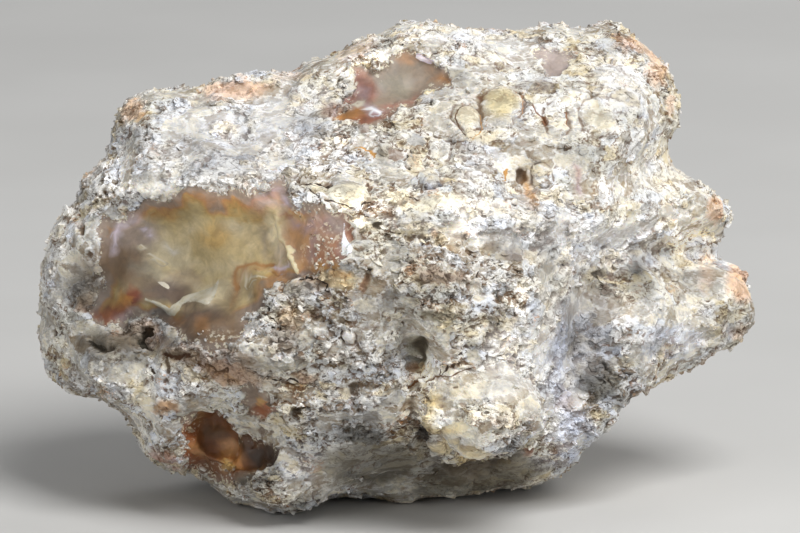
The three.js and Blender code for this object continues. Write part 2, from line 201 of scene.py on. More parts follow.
WINDOW_OVALS = {"front": [
    ((-19.5, 1.6), (6.5, 3.8), "olive_cream", 0.8, -4),
    ((-22.5, -0.6), (5.0, 1.6), "olive_cream", 0.8, -6),
    ((-18.6, 3.8), (2.4, 0.9), "pale_olive", 0.9, -12),
    ((-24.8, 0.9), (3.2, 1.1), "pale_olive", 0.8, -30),
    ((-19.5, -0.5), (3.4, 1.0), "pale_olive", 0.6, 8),
    ((-30.5, 1.4), (4.0, 4.2), "smoke", 0.85),
    ((-30.8, 0.0), (3.4, 3.2), "warm_smoke", 0.9),
    ((-28.2, -2.2), (2.8, 1.6), "window_brown", 0.85, -10),
    ((-29.2, 3.2), (3.2, 1.8), "taupe", 0.9, 5),
    ((-28.0, -0.4), (2.8, 1.0), "olive_grey", 0.5, -12),
    ((-24.0, -1.4), (2.4, 1.0), "light_taupe", 0.5, -8),
    ((-25.4, -2.9), (3.6, 1.6), "deep_smoke", 1.0, -10),
    ((-21.4, -6.2), (4.8, 3.0), "deep_smoke", 1.0),
    ((-20.6, -6.8), (3.4, 1.8), "warm_smoke", 0.7),
    ((-21.8, -6.2), (1.0, 1.5), "amber", 0.35),
    ((-25.0, -5.9), (1.8, 0.8), "amber", 0.4),
    ((-20.4, 3.0), (2.5, 1.9), "honey", 0.8, -8),
    ((-16.4, 4.7), (1.4, 0.7), "honey", 0.85),
    ((-16.0, -2.1), (1.9, 1.3), "window_brown", 0.6),
    ((-13.4, -1.9), (1.6, 0.9), "caramel", 0.9, 20),
    ((-15.8, -4.9), (1.6, 1.8), "taupe", 0.95),
    ((-18.2, -4.4), (1.2, 2.6), "window_brown", 0.6, 6),
    ((-15.2, 6.3), (2.2, 1.0), "rose", 0.7, 12),
    ((-14.6, 6.4), (1.4, 0.7), "rose_taupe", 0.7, 12),
    ((-13.8, 2.6), (0.8, 2.8), "ivory", 0.45, 12),
    ((-29.6, -3.7), (1.7, 1.2), "red_rust", 1.0),
    ((-31.4, -4.0), (1.8, 0.9), "orange", 0.9, 12),
    ((-32.2, -5.0), (2.4, 1.1), "red_rust", 0.8, 14),
    ((-30.4, -5.4), (1.2, 0.6), "mauve", 0.7),
    ((-33.4, -5.6), (1.2, 0.6), "rust", 0.9),
    ((-9.2, 2.8), (4.4, 3.8), "rose_brown", 0.75),
    ((-5.2, 3.8), (1.4, 1.8), "rust", 0.6),
    ((-11.2, 3.3), (1.5, 1.6), "caramel", 0.9),
    ((-9.6, 1.0), (1.6, 1.6), "rust", 0.45),
    ((-10.4, 0.5), (1.2, 1.1), "caramel", 0.7),
    ((-8.0, -0.4), (2.6, 0.9), "ochre", 0.9),
    ((-9.2, 5.9), (2.6, 1.0), "taupe", 0.8, -6),
    ((-12.6, 8.4), (1.0, 1.6), "taupe", 0.8),
    ((-13.4, 2.6), (1.0, 2.8), "pale_olive", 0.6, 12),
    ((-13.3, 1.0), (1.2, 1.2), "rose_taupe", 0.5),
    ((-7.4, 4.2), (1.2, 1.2), "rose_taupe", 0.8),
    ((-6.2, 2.4), (1.2, 0.9), "rose_taupe", 0.6),
    ((-1.4, 19.8), (7.5, 5.0), "window_grey", 0.95, 15),
    ((-0.4, 20.0), (2.0, 1.3), "olive_grey", 0.5, -20),
    ((0.2, 23.0), (1.3, 1.0), "tan", 0.8),
    ((4.7, 20.8), (2.6, 0.9), "tan", 0.8, -20),
    ((5.2, 20.6), (1.4, 0.5), "amber", 0.6, -20),
    ((-4.6, 19.4), (2.3, 2.4), "rose_brown", 0.95),
    ((-4.3, 19.1), (0.7, 0.9), "mauve", 0.8),
    ((-6.0, 16.6), (2.4, 1.0), "amber", 0.95, 10),
    ((-3.4, 16.5), (3.0, 0.7), "red_rust", 0.65, 8),
    ((16.6, 22.4), (3.2, 2.8), "rose_taupe", 1.0),
    ((-19.5, -20.2), (5.6, 5.0), "rust_brown", 1.0),
    ((-23.2, -20.2), (1.5, 3.2), "rust", 0.9),
    ((-19.8, -17.6), (2.2, 1.8), "rust_brown", 1.0),
    ((-20.6, -19.0), (1.3, 1.0), "dark_olive", 0.5),
    ((-22.2, -20.8), (0.8, 1.4), "caramel", 0.6, 10),
    ((-18.0, -19.3), (1.1, 0.7), "dark_olive", 0.8, -30),
    ((-18.9, -21.1), (1.8, 1.4), "amber", 0.8),
    ((-17.6, -21.3), (0.8, 0.8), "rust_brown", 0.9),
    ((-19.9, -22.0), (0.7, 1.3), "honey", 0.9),
    ((-19.5, -20.0), (0.5, 0.7), "caramel", 0.7, -20),
    ((-15.4, -20.6), (3.0, 2.2), "umber", 0.9, -10),
    ((-16.4, -19.2), (2.0, 0.9), "deep_brown", 0.9, -15),
    # painted shade low in the pocket
    ((-17.0, -23.8), (1.8, 1.6), "shadow_olive", 0.8),
    ((-16.4, -14.1), (1.5, 1.3), "smoke", 1.0),
    ((-15.2, -16.4), (1.7, 0.9), "rust", 1.0),
], "back": [
    ((2.4, 1.6), (4.4, 2.6), "pale_olive", 0.7, 10),
    ((8.6, 2.4), (3.0, 2.4), "olive_cream", 0.8, -15),
    ((8.8, 3.0), (1.4, 1.0), "honey", 0.9),
    ((-2.4, -0.4), (2.4, 2.2), "taupe", 0.8),
    ((3.4, -4.0), (3.0, 1.2), "smoke", 0.9),
    ((11.6, 4.4), (1.8, 1.6), "rose", 0.7),
    ((11.0, -2.6), (1.8, 1.4), "rust", 0.7),
    ((-22.4, 9.0), (2.8, 1.8), "smoke", 0.8),
    ((-20.6, 8.0), (1.4, 1.2), "rust", 0.7),
    ((23.6, -11.2), (2.8, 2.0), "deep_brown", 0.8),
    ((25.0, -12.2), (1.6, 1.0), "amber", 0.8),
]}

CRUST_OVALS = {"front": [
    ((-17.0, 13.5), (16.0, 6.5), "blue_white", 0.65, 12),
    ((-18.0, 14.6), (5.6, 2.4), "cold_grey", 0.35, 6),
    ((-11.0, 18.0), (4.2, 2.0), "blue_white", 0.6, 16),
    ((-9.0, -22.2), (3.2, 1.9), "white", 0.5),
    # painted shade under the ledge
    ((-4.6, -18.4), (3.6, 1.6), "shadow_olive", 0.7),
    ((-23.0, 8.8), (14.0, 2.4), "white", 0.5, 3),
    ((-20.5, -10.4), (8.0, 2.4), "tan", 0.55, -14),
    ((-28.6, -7.6), (4.4, 1.8), "tan", 0.6, -4),
    ((-18.0, -12.0), (4.8, 1.6), "tan", 0.65, -18),
    ((-34.8, -4.4), (1.1, 1.5), "tan", 0.8),
    ((-34.4, -1.4), (2.4, 3.4), "window_brown", 0.5),
    ((-12.0, -6.4), (1.8, 3.2), "tan", 0.55, -20),
    # painted shadow below the large window's lower rim, partly the crust's own brown
    ((-31.4, -8.6), (4.6, 1.4), "window_brown", 0.7, -4),
    ((-24.2, -9.9), (1.8, 0.8), "window_brown", 0.8, -10),
    ((-34.6, -2.6), (1.8, 3.0), "olive_taupe", 0.6),
    ((-9.2, -1.8), (2.8, 2.0), "ochre", 0.6),
    ((8.8, 18.4), (0.55, 0.5), "rust_brown", 1.0),
    ((7.0, 13.0), (0.5, 0.45), "rust_brown", 1.0),
    ((15.6, 15.6), (0.6, 0.4), "rust_brown", 1.0, -30),
    ((-6.6, 16.9), (2.0, 1.3), "rust", 0.5),
    ((-6.6, -1.6), (2.6, 1.6), "pale_yellow", 0.7, -10),
    ((-6.4, -0.9), (1.5, 0.7), "ochre", 0.7, -10),
    ((17.8, -10.5), (3.4, 12.0), "blue_white", 0.8, -4),
    ((18.0, -11.0), (2.4, 6.0), "cold_grey", 0.85, -4),
    ((19.4, -18.8), (3.6, 3.6), "cold_grey", 0.7),
    ((16.8, -21.6), (3.2, 1.5), "cold_grey", 0.65, 20),
    ((12.0, -9.5), (5.0, 5.0), "blue_white", 0.85),
    ((12.6, -13.0), (3.4, 2.6), "blue_white", 0.55),
    ((19.5, 1.5), (7.0, 4.0), "blue_white", 0.7, -10),
    ((8.0, 11.4), (5.0, 2.6), "blue_white", 0.6),
    ((30.0, -8.6), (5.0, 3.0), "cold_grey", 0.7, 10),
    ((15.0, 19.6), (3.2, 1.3), "cold_grey", 0.6),
    ((5.0, 25.8), (9.0, 1.8), "blue_white", 0.65),
    ((22.5, 22.4), (3.6, 2.4), "blue_white", 0.55),
    ((7.4, 8.4), (2.2, 3.2), "blue_white", 0.5),
    ((30.5, 5.8), (2.2, 1.6), "blue_white", 0.55),
    ((26.0, 2.6), (6.0, 4.0), "blue_white", 0.65),
    ((12.0, 22.6), (8.0, 3.4), "blue_white", 0.55),
    ((24.4, 19.6), (3.6, 4.2), "blue_white", 0.8),
    ((6.0, -1.0), (15.0, 6.5), "pale_yellow", 0.3, -8),
    ((-10.0, -9.5), (8.0, 6.5), "pale_yellow", 0.3),
    ((-5.7, 7.6), (3.2, 1.4), "cream", 0.8, -8),
    ((-9.0, 8.4), (2.2, 0.9), "cream", 0.75, -25),
    ((4.0, 6.8), (3.4, 1.1), "cream", 0.75, 5),
    ((-0.5, 6.8), (2.6, 0.6), "cream", 0.8, -12),
    ((15.0, 4.6), (7.5, 1.4), "white", 0.6, -8),
    ((9.5, 6.2), (2.6, 1.2), "white", 0.7),
    ((1.3, 13.5), (1.3, 0.8), "slate", 0.7, 10),
    ((-1.8, 12.2), (1.0, 1.4), "grey", 0.8),
    ((-4.2, 15.2), (0.8, 1.0), "olive_grey", 0.8),
    ((1.6, 11.4), (1.1, 1.1), "ivory", 1.0),
    ((3.1, 9.6), (1.1, 0.9), "ivory", 0.9),
    ((7.3, 16.3), (1.7, 1.7), "pale_disc", 0.9),
    ((11.0, 17.6), (2.4, 2.3), "disc", 1.0),
    ((21.7, 16.0), (2.2, 1.9), "wax", 0.7),
    ((9.0, -15.6), (6.8, 5.4), "cream", 0.42, 8),
    ((-11.0, -21.6), (3.4, 3.4), "cold_grey", 0.55),
    # painted shade in the recess under the knob and on the underside
    ((-3.4, -21.8), (8.5, 3.4), "shadow_olive", 0.85, 5),
    ((8.0, -24.0), (9.0, 2.2), "shadow_olive", 0.7, 8),
    ((9.5, -22.9), (9.0, 2.0), "shadow_olive", 0.8, 6),
    # painted shade at the knob's neck
    ((2.4, -18.6), (1.0, 1.4), "umber", 0.9),
    ((4.7, -20.0), (1.7, 1.3), "pale_yellow", 0.85),
    ((7.9, -20.6), (2.6, 1.2), "pale_yellow", 0.7, 4),
    ((8.5, -14.0), (2.6, 1.6), "white", 0.5),
    ((10.6, -13.6), (3.0, 1.8), "blue_white", 0.5, 20),
    ((10.6, -17.2), (1.8, 0.7), "tan", 0.3, 10),
    ((18.2, -15.2), (0.9, 1.2), "mauve", 0.4),
    ((18.6, -8.3), (1.2, 1.3), "slate", 0.8),
    ((1.7, -9.4), (1.5, 2.2), "olive_grey", 0.9, 8),
    ((2.1, -8.9), (0.8, 1.2), "dark_olive", 0.9),
    ((1.4, -11.0), (0.9, 0.8), "tan", 0.8),
    ((-3.4, -0.4), (0.5, 0.6), "umber", 0.9),
    ((-3.7, -2.2), (0.6, 1.2), "tan", 0.9, -8),
    ((-9.8, -5.5), (0.9, 0.5), "brown", 0.9, 10),
    ((-10.5, -12.4), (2.0, 0.6), "rust", 0.5, 4),
    ((4.3, -1.3), (3.6, 1.0), "taupe", 0.85, -5),
    ((12.1, 1.3), (1.5, 1.1), "taupe", 0.9),
    ((-5.4, -7.8), (0.8, 0.6), "blue_white", 1.0),
    ((4.0, -5.5), (2.4, 1.3), "olive_grey", 0.8, -8),
    ((-3.2, 4.2), (1.9, 1.1), "olive_grey", 0.8, 8),
    ((0.4, 5.0), (2.4, 1.0), "grey", 0.7),
    ((3.5, 3.3), (0.4, 0.6), "orange", 0.9),
    ((-10.7, -2.8), (2.9, 1.3), "grey", 0.9, 5),
    ((-2.5, -14.8), (2.3, 1.0), "grey", 0.7),
    ((17.8, -9.0), (3.0, 8.0), "cold_grey", 0.4, -6),
    ((16.0, -3.5), (1.3, 6.5), "white", 0.5, -4),
    # painted shade in the hole here
    ((22.0, -1.1), (1.6, 1.0), "shadow_olive", 0.7),
    ((19.5, -7.2), (1.2, 1.8), "slate", 0.6),
    # painted shade in the valley
    ((22.2, -12.8), (2.4, 3.0), "shadow_olive", 0.85, -20),
    ((14.1, -20.5), (0.8, 1.1), "rust", 0.8),
    ((38.2, -1.4), (2.6, 3.4), "peach", 0.8),
    ((37.6, -7.6), (2.2, 1.4), "peach", 0.5, -20),
    ((34.0, -1.0), (1.6, 3.0), "peach", 0.5),
    ((35.0, 6.2), (1.4, 2.2), "peach", 0.7),
    ((26.5, 24.6), (4.6, 1.3), "peach", 0.7, -10),
    ((28.4, 21.6), (1.6, 2.6), "peach", 0.65),
    ((29.8, 17.6), (0.9, 2.0), "peach", 0.6),
    ((-5.0, 23.8), (3.6, 1.4), "peach", 0.5, 20),
    ((-18.4, 19.4), (5.0, 1.4), "peach", 0.75, 3),
    ((-29.6, 17.4), (2.2, 1.8), "peach", 0.65, 30),
    ((-12.0, 20.8), (3.0, 1.0), "peach", 0.5, 8),
    ((-35.2, 4.1), (0.5, 0.9), "brown", 0.9),
    ((-38.6, -7.2), (0.4, 1.0), "brown", 0.8),
    ((-28.1, -8.3), (0.7, 1.1), "dark_olive", 1.0, 10),
    ((-36.3, -0.8), (2.2, 3.0), "grey", 0.5),
    ((-31.0, -8.0), (4.0, 1.8), "olive_grey", 0.35),
    ((-25.6, -15.8), (2.4, 0.8), "tan", 0.8),
    ((-25.8, -21.6), (3.0, 1.4), "rust", 0.7, -35),
    ((-25.6, -15.4), (1.7, 0.7), "ochre", 0.35, -14),
    ((-22.8, -15.0), (1.3, 0.7), "honey", 0.5, -10),
    ((-13.5, -8.5), (5.0, 2.2), "blue_white", 0.35, -20),
    # painted shade in the valley
    ((20.5, -7.5), (2.6, 9.0), "grey", 0.6, -14),
    ((24.0, -3.5), (3.0, 2.0), "grey", 0.5),
    ((-35.5, -10.5), (4.5, 3.5), "grey", 0.4, -25),
    ((-27.5, -13.0), (4.5, 2.6), "olive_grey", 0.3, -20),
    ((17.0, 8.5), (6.0, 5.0), "white", 0.4),
    ((8.0, 3.6), (7.0, 2.0), "blue_white", 0.35, -5),
    ((29.0, 10.0), (5.0, 5.0), "white", 0.5),
    ((15.0, 3.8), (11.0, 4.0), "blue_white", 0.6, -8),
    ((4.0, 4.6), (8.0, 1.8), "blue_white", 0.45, -4),
    # painted shade in the valley
    ((22.0, -8.0), (3.4, 6.0), "slate", 0.45, -20),
], "back": [
    ((-10.0, 17.0), (7.0, 3.4), "peach", 0.6, -12),
    ((18.0, 13.0), (5.0, 2.6), "peach", 0.6, 20),
    ((-33.0, -4.0), (4.4, 3.6), "peach", 0.6),
    ((30.0, 2.0), (4.0, 6.0), "grey", 0.5),
    ((-14.0, -4.0), (5.0, 7.0), "blue_white", 0.5, 15),
    ((-9.0, 8.4), (3.0, 1.4), "cream", 0.9, 10),
    ((16.4, -2.6), (2.0, 3.4), "cream", 0.8),
    ((-17.6, 2.6), (1.6, 2.6), "olive_grey", 0.8, -10),
    ((4.0, -13.0), (7.0, 2.6), "olive_grey", 0.7, -6),
    # painted shade low on the back
    ((-12.0, -14.0), (4.0, 2.4), "shadow_olive", 0.7, 10),
    ((14.0, -17.0), (5.0, 2.4), "tan", 0.6),
    ((-4.0, -18.0), (8.0, 3.0), "tan", 0.5),
    ((-24.0, 2.0), (2.4, 1.2), "rust", 0.6),
    ((20.0, 5.6), (1.4, 2.2), "ochre", 0.7, 20),
    ((8.0, 14.4), (1.8, 1.8), "ivory", 0.9),
    ((11.6, 13.0), (1.4, 1.4), "cream", 0.9),
], "left": [
    ((4.0, 10.0), (4.0, 3.0), "peach", 0.6),
    ((-12.0, -4.0), (3.6, 4.4), "grey", 0.6),
    ((6.0, -6.0), (3.0, 4.4), "olive_grey", 0.6, 10),
    ((-2.0, -12.0), (5.0, 2.6), "tan", 0.6),
    ((2.0, 2.4), (1.2, 2.0), "rust", 0.5),
], "right": [
    ((-3.0, 3.0), (3.0, 2.0), "olive_grey", 0.6),
    ((8.0, -8.0), (4.0, 3.4), "grey", 0.5),
    ((-6.0, -6.0), (2.6, 4.0), "mauve", 0.5),
    ((3.0, -16.0), (6.0, 3.0), "tan", 0.6),
], "top": [
    ((12.0, 10.0), (5.0, 2.6), "peach", 0.5, 15),
    ((-4.0, 12.0), (4.0, 2.4), "grey", 0.6),
    ((-26.0, 6.0), (3.0, 4.0), "cream", 0.6),
    ((20.0, 4.0), (2.6, 2.0), "olive_grey", 0.5),
    ((4.0, 14.0), (1.4, 1.4), "ochre", 0.6),
]}

# Soft bands of colour in the windows: corners, width, colour, how fully they cover

WINDOW_BANDS = {"front": [
    ([(-29.6, 5.5), (-26.2, 5.3), (-24.5, 5.8), (-23.3, 7.0), (-22.4, 7.2), (-21.2, 6.3), (-19.5, 6.3),
      (-18.1, 6.5), (-16.1, 5.6), (-15.0, 5.3)], 0.42, "amber", 0.6),
    ([(-18.4, -3.9), (-18.2, -1.2), (-17.4, -0.2), (-15.4, 0.1), (-13.4, -0.5), (-12.2, -1.0)],
     0.35, "amber", 0.55),
    ([(-17.0, -3.1), (-16.4, -3.3), (-15.8, -3.1)], 0.16, "brown", 0.6),
    ([(-31.1, 5.0), (-31.2, 3.2), (-31.6, 1.2)], 0.4, "lilac", 0.75),
    ([(-30.8, 4.6), (-29.8, 5.3), (-28.8, 5.0)], 0.4, "lilac", 0.6),
    ([(-28.1, 4.3), (-27.4, 3.4), (-27.0, 2.7)], 0.28, "lilac", 0.7),
    ([(-29.0, 2.3), (-27.8, 1.2), (-26.2, 0.8), (-24.6, 0.0)], 0.28, "pale_olive", 0.8),
    ([(-26.0, 2.2), (-25.2, 1.4), (-24.0, 1.2)], 0.2, "blue_white", 0.5),
    ([(-22.9, 4.2), (-23.6, 2.8), (-23.2, 0.8), (-21.8, -0.4)], 0.26, "pale_olive", 0.6),
    ([(-18.4, 4.8), (-17.2, 3.8), (-16.4, 2.2), (-16.9, 0.8)], 0.26, "pale_olive", 0.6),
    ([(-15.8, 4.2), (-14.8, 3.0), (-15.0, 1.4), (-14.4, 0.6)], 0.3, "light_taupe", 0.5),
    ([(-17.0, -1.0), (-16.4, -2.0), (-16.8, -3.4)], 0.22, "ivory", 0.4),
    ([(-14.9, 7.2), (-13.7, 8.6), (-12.9, 8.0), (-13.0, 6.6), (-13.2, 5.6)], 0.45, "mauve", 0.85),
    ([(-13.2, 8.4), (-12.8, 7.0), (-12.9, 5.8)], 0.25, "lilac", 0.8),
    ([(-13.2, 5.4), (-12.4, 4.9), (-11.6, 5.1)], 0.3, "rust", 0.8),
    ([(-12.3, 4.6), (-11.2, 4.0), (-10.2, 4.8), (-9.0, 4.6), (-8.4, 3.8)], 0.34, "mauve", 0.95),
    ([(-9.9, 3.9), (-9.9, 0.3)], 0.35, "mauve", 0.7),
    ([(-14.4, 0.1), (-13.2, -0.3), (-12.0, 0.1)], 0.22, "lilac", 0.8),
    ([(-2.2, 17.3), (0.0, 18.1), (2.0, 19.0)], 0.4, "rose_brown", 0.8),
    ([(-5.6, 17.7), (-4.6, 18.3), (-3.9, 17.8)], 0.3, "rose_taupe", 0.7),
    ([(-3.9, 17.7), (-3.2, 17.2), (-2.4, 17.0)], 0.3, "lilac", 0.8),
], "back": [
    ([(-3.6, 1.6), (-1.6, 4.0), (2.0, 4.2), (5.0, 5.8), (8.4, 6.2), (11.6, 3.6), (12.4, 1.4)],
     0.4, "amber", 0.6),
    ([(-2.0, -2.6), (0.6, -2.2), (3.4, -2.8), (6.4, -1.6), (9.4, -2.0), (11.2, -0.4)], 0.35, "amber", 0.5),
    ([(0.2, 0.4), (2.2, 1.6), (4.6, 1.0), (6.6, 2.2)], 0.3, "lilac", 0.6),
]}

# Soft bands of colour on the crust

CRUST_BANDS = {"front": [
    # painted shadow in the crack below a button
    ([(1.0, 8.9), (2.1, 8.3), (3.5, 8.4), (4.1, 9.2)], 0.4, "slate", 0.9),
    ([(3.6, -13.4), (3.1, -15.4), (3.3, -17.0), (4.6, -17.9), (6.6, -17.6)], 0.6, "pale_yellow", 0.9),
    # painted shade in the groove round the knob and under it
    ([(1.5, -13.0), (0.9, -15.2), (1.3, -17.6)], 0.4, "shadow_olive", 0.5),
    ([(3.0, -21.6), (5.0, -22.5), (8.0, -22.9), (11.2, -21.8), (13.8, -20.2)], 0.9, "umber", 0.7),
    ([(13.0, 9.9), (13.9, 8.8), (14.3, 6.6)], 0.5, "ochre", 0.8),
    ([(19.3, 11.1), (19.4, 9.4), (19.6, 7.8)], 0.5, "mauve", 0.9),
    ([(20.6, 13.0), (22.0, 13.9), (23.6, 13.7)], 0.4, "brown", 0.6),
]}

# Crisp thin lines, cracks among them: corners, width, colour, how deep they are cut

THIN_LINES = {"front": [
    ([(-11.9, 8.7), (-11.0, 9.4), (-9.2, 9.1), (-7.2, 8.6)], 0.10, "umber", 0.5),
    ([(-10.4, 8.5), (-9.4, 7.9), (-8.8, 7.3)], 0.06, "umber", 0.3),
    ([(-8.5, 7.1), (-7.6, 6.9), (-6.2, 6.6), (-5.0, 6.2)], 0.06, "umber", 0.3),
    ([(-4.4, 6.5), (-3.7, 6.9), (-2.8, 7.1)], 0.07, "umber", 0.3),
    ([(0.8, 7.3), (2.0, 7.0)], 0.07, "umber", 0.3),
    ([(-11.3, -1.5), (-9.2, -1.6), (-8.1, -2.3), (-7.9, -3.6)], 0.08, "umber", 0.4),
    ([(-14.9, -3.9), (-14.2, -4.6), (-14.0, -5.4), (-13.3, -6.1), (-13.2, -6.9), (-12.4, -7.6)],
     0.07, "umber", 0.3),
    ([(-6.2, -6.9), (-6.5, -7.8), (-6.1, -8.6)], 0.08, "umber", 0.3),
    ([(8.3, -0.6), (8.3, -1.3)], 0.10, "umber", 0.3),
    ([(2.6, -12.8), (3.6, -12.0), (5.4, -11.9), (7.0, -11.3), (8.2, -11.1)], 0.05, "brown", 0.2),
    ([(4.9, -10.6), (4.6, -11.6), (4.9, -12.2)], 0.12, "umber", 0.3),
    ([(-14.2, -12.6), (-13.2, -12.9), (-12.2, -12.7), (-11.0, -12.9)], 0.05, "umber", 0.25),
    ([(0.9, -13.0), (1.8, -12.3), (2.7, -11.9)], 0.08, "deep_brown", 0.3),
    ([(-27.4, -11.2), (-26.9, -12.0)], 0.16, "umber", 0.3),
    ([(-34.2, -8.5), (-32.6, -9.2), (-31.2, -8.8)], 0.22, "dark_olive", 0.6),
    ([(-26.2, -9.5), (-24.4, -10.2), (-22.8, -9.8)], 0.18, "deep_brown", 0.5),
    ([(-21.5, -11.0), (-19.8, -11.6), (-18.4, -11.4)], 0.14, "brown", 0.4),
    ([(7.2, 17.6), (6.3, 17.0), (6.0, 15.8), (6.4, 14.7), (7.1, 14.1)], 0.08, "brown", 0.1),
    ([(7.1, 14.1), (8.1, 14.0), (8.9, 14.8), (9.0, 16.0), (8.5, 17.2)], 0.04, "ochre", 0.1),
    ([(12.9, 15.9), (13.3, 17.2), (13.1, 18.6), (12.4, 19.6)], 0.05, "tan", 0.15),
    ([(14.3, 17.8), (14.6, 16.8), (15.3, 16.1), (15.8, 15.3)], 0.09, "rust_line", 0.15),
    ([(18.2, 16.9), (18.4, 16.0), (18.3, 15.2)], 0.08, "rust_line", 0.2),
    ([(-4.6, 12.9), (-3.8, 12.5), (-3.2, 12.2), (-2.6, 12.0)], 0.11, "ochre", 0.0),
    ([(11.6, 10.6), (11.4, 9.0)], 0.10, "ochre", 0.0),
    ([(-13.6, 5.6), (-13.3, 4.1), (-12.8, 2.8), (-12.1, 1.7), (-11.8, 0.7), (-11.3, -0.6)],
     0.11, "pale_yellow", 0.0),
    ([(-14.7, 0.3), (-13.9, -0.2), (-12.9, -0.4), (-12.0, 0.1)], 0.09, "lilac", 0.0),
    ([(-18.1, -3.0), (-18.5, -1.1), (-17.7, -0.1), (-16.4, 0.4), (-14.6, 0.2), (-13.6, -0.5),
      (-12.2, -0.7)], 0.13, "amber", 0.0),
    ([(-17.4, -2.6), (-17.2, -1.5), (-15.9, -1.1), (-14.3, -1.6)], 0.09, "ivory", 0.0),
    ([(-28.8, 2.5), (-27.5, 1.2), (-25.2, 0.2)], 0.07, "ivory", 0.0),
    ([(-28.2, 4.1), (-27.6, 3.3), (-27.3, 2.8)], 0.1, "lilac", 0.0),
    ([(-31.3, 4.3), (-31.5, 2.8), (-31.4, 1.5)], 0.12, "lilac", 0.0),
    ([(-5.7, 17.8), (-4.8, 18.2), (-3.9, 18.1), (-4.1, 17.6), (-5.0, 17.4), (-5.6, 17.7)],
     0.07, "cream", 0.0),
    ([(-4.1, 18.1), (-3.6, 17.6), (-2.8, 17.2), (-2.0, 16.9)], 0.12, "bright", 0.0),
    ([(2.6, 18.7), (3.2, 19.3), (3.9, 19.3)], 0.15, "pale_yellow", -0.1),
], "back": [
    ([(0.4, 1.8), (1.8, 3.0), (3.6, 2.8), (5.0, 3.8)], 0.09, "ivory", 0.0),
    ([(9.8, 0.6), (8.4, 1.8), (8.6, 3.6), (10.0, 4.2), (11.2, 3.4)], 0.12, "amber", 0.0),
    ([(10.4, 1.6), (9.6, 2.4), (9.8, 3.2)], 0.08, "ivory", 0.0),
    ([(-9.6, 6.8), (-8.0, 7.4), (-6.4, 6.6), (-5.6, 5.0)], 0.08, "umber", 0.3),
    ([(15.2, 0.6), (16.8, -0.4), (17.2, -2.6), (18.4, -3.8)], 0.08, "umber", 0.3),
    ([(-1.0, 10.6), (1.6, 11.6), (3.4, 11.0)], 0.10, "brown", 0.3),
    ([(6.2, 15.6), (6.0, 14.2), (6.8, 12.8)], 0.10, "rust", 0.2),
    ([(-22.0, -2.0), (-20.4, -3.6), (-20.2, -5.6)], 0.09, "umber", 0.3),
], "left": [
    ([(6.0, 4.6), (7.4, 3.2), (7.2, 1.4)], 0.09, "umber", 0.3),
], "right": [
    ([(-3.6, 6.0), (-2.0, 5.0), (0.4, 5.2)], 0.09, "umber", 0.3),
], "top": [
    ([(-8.0, 10.0), (-5.6, 8.8), (-3.0, 9.2)], 0.09, "umber", 0.3),
]}

# Ledges: corners, how far the ground to the right of the line lies lower, how far it goes

LEDGES = {"front": [
    ([(-28.2, -3.9), (-26.6, -4.6), (-25.5, -5.2), (-24.5, -4.2), (-22.6, -3.7), (-21.2, -3.9),
      (-20.3, -2.6)], 0.15, 2.6),
    ([(-11.3, -0.6), (-11.8, 0.7), (-12.1, 1.7), (-12.8, 2.8), (-13.3, 4.1), (-13.6, 5.6)], -0.15, 2.6),
    ([(-12.9, -13.9), (-7.0, -13.2), (-1.0, -12.5)], 0.5, 2.5),
    ([(-35.0, -8.0), (-32.6, -8.8), (-30.0, -8.6), (-27.0, -9.4)], -0.6, 2.0),
], "back": [
    ([(-2.6, 0.2), (0.8, -0.6), (3.8, 0.6), (6.4, -0.8), (10.2, 0.4)], 0.35, 2.4),
]}

# Rounded ribs and grooves: corners, half width, height (negative: depth)

RIBS = {"front": [
    ([(4.8, -12.4), (3.6, -13.4), (3.1, -15.4), (3.3, -17.0), (4.6, -17.9)], 0.8, 0.55),
    ([(3.2, -11.8), (1.5, -13.0), (0.9, -15.2), (1.3, -17.6), (2.1, -19.6), (3.0, -21.6), (5.0, -22.5),
      (8.0, -22.9), (11.2, -21.8), (13.8, -20.2), (15.6, -18.6)], 1.0, -0.8),
    ([(16.4, -18.2), (16.2, -15.0), (15.6, -12.0)], 0.9, -0.5),
    ([(5.9, -19.0), (5.9, -21.2)], 0.5, -0.5),
    ([(1.0, 8.9), (2.1, 8.3), (3.5, 8.4), (4.1, 9.2)], 0.45, -0.5),
    ([(-11.2, -1.0), (-11.8, 0.7), (-12.1, 1.7), (-12.8, 2.8), (-13.3, 4.1), (-13.6, 5.9)], 0.5, 0.5),
    ([(-14.8, -0.4), (-14.2, 1.8), (-14.6, 4.0)], 1.2, -0.4),
]}

# Smooth plates with a crisp rim: outline, colour, how far they stand up

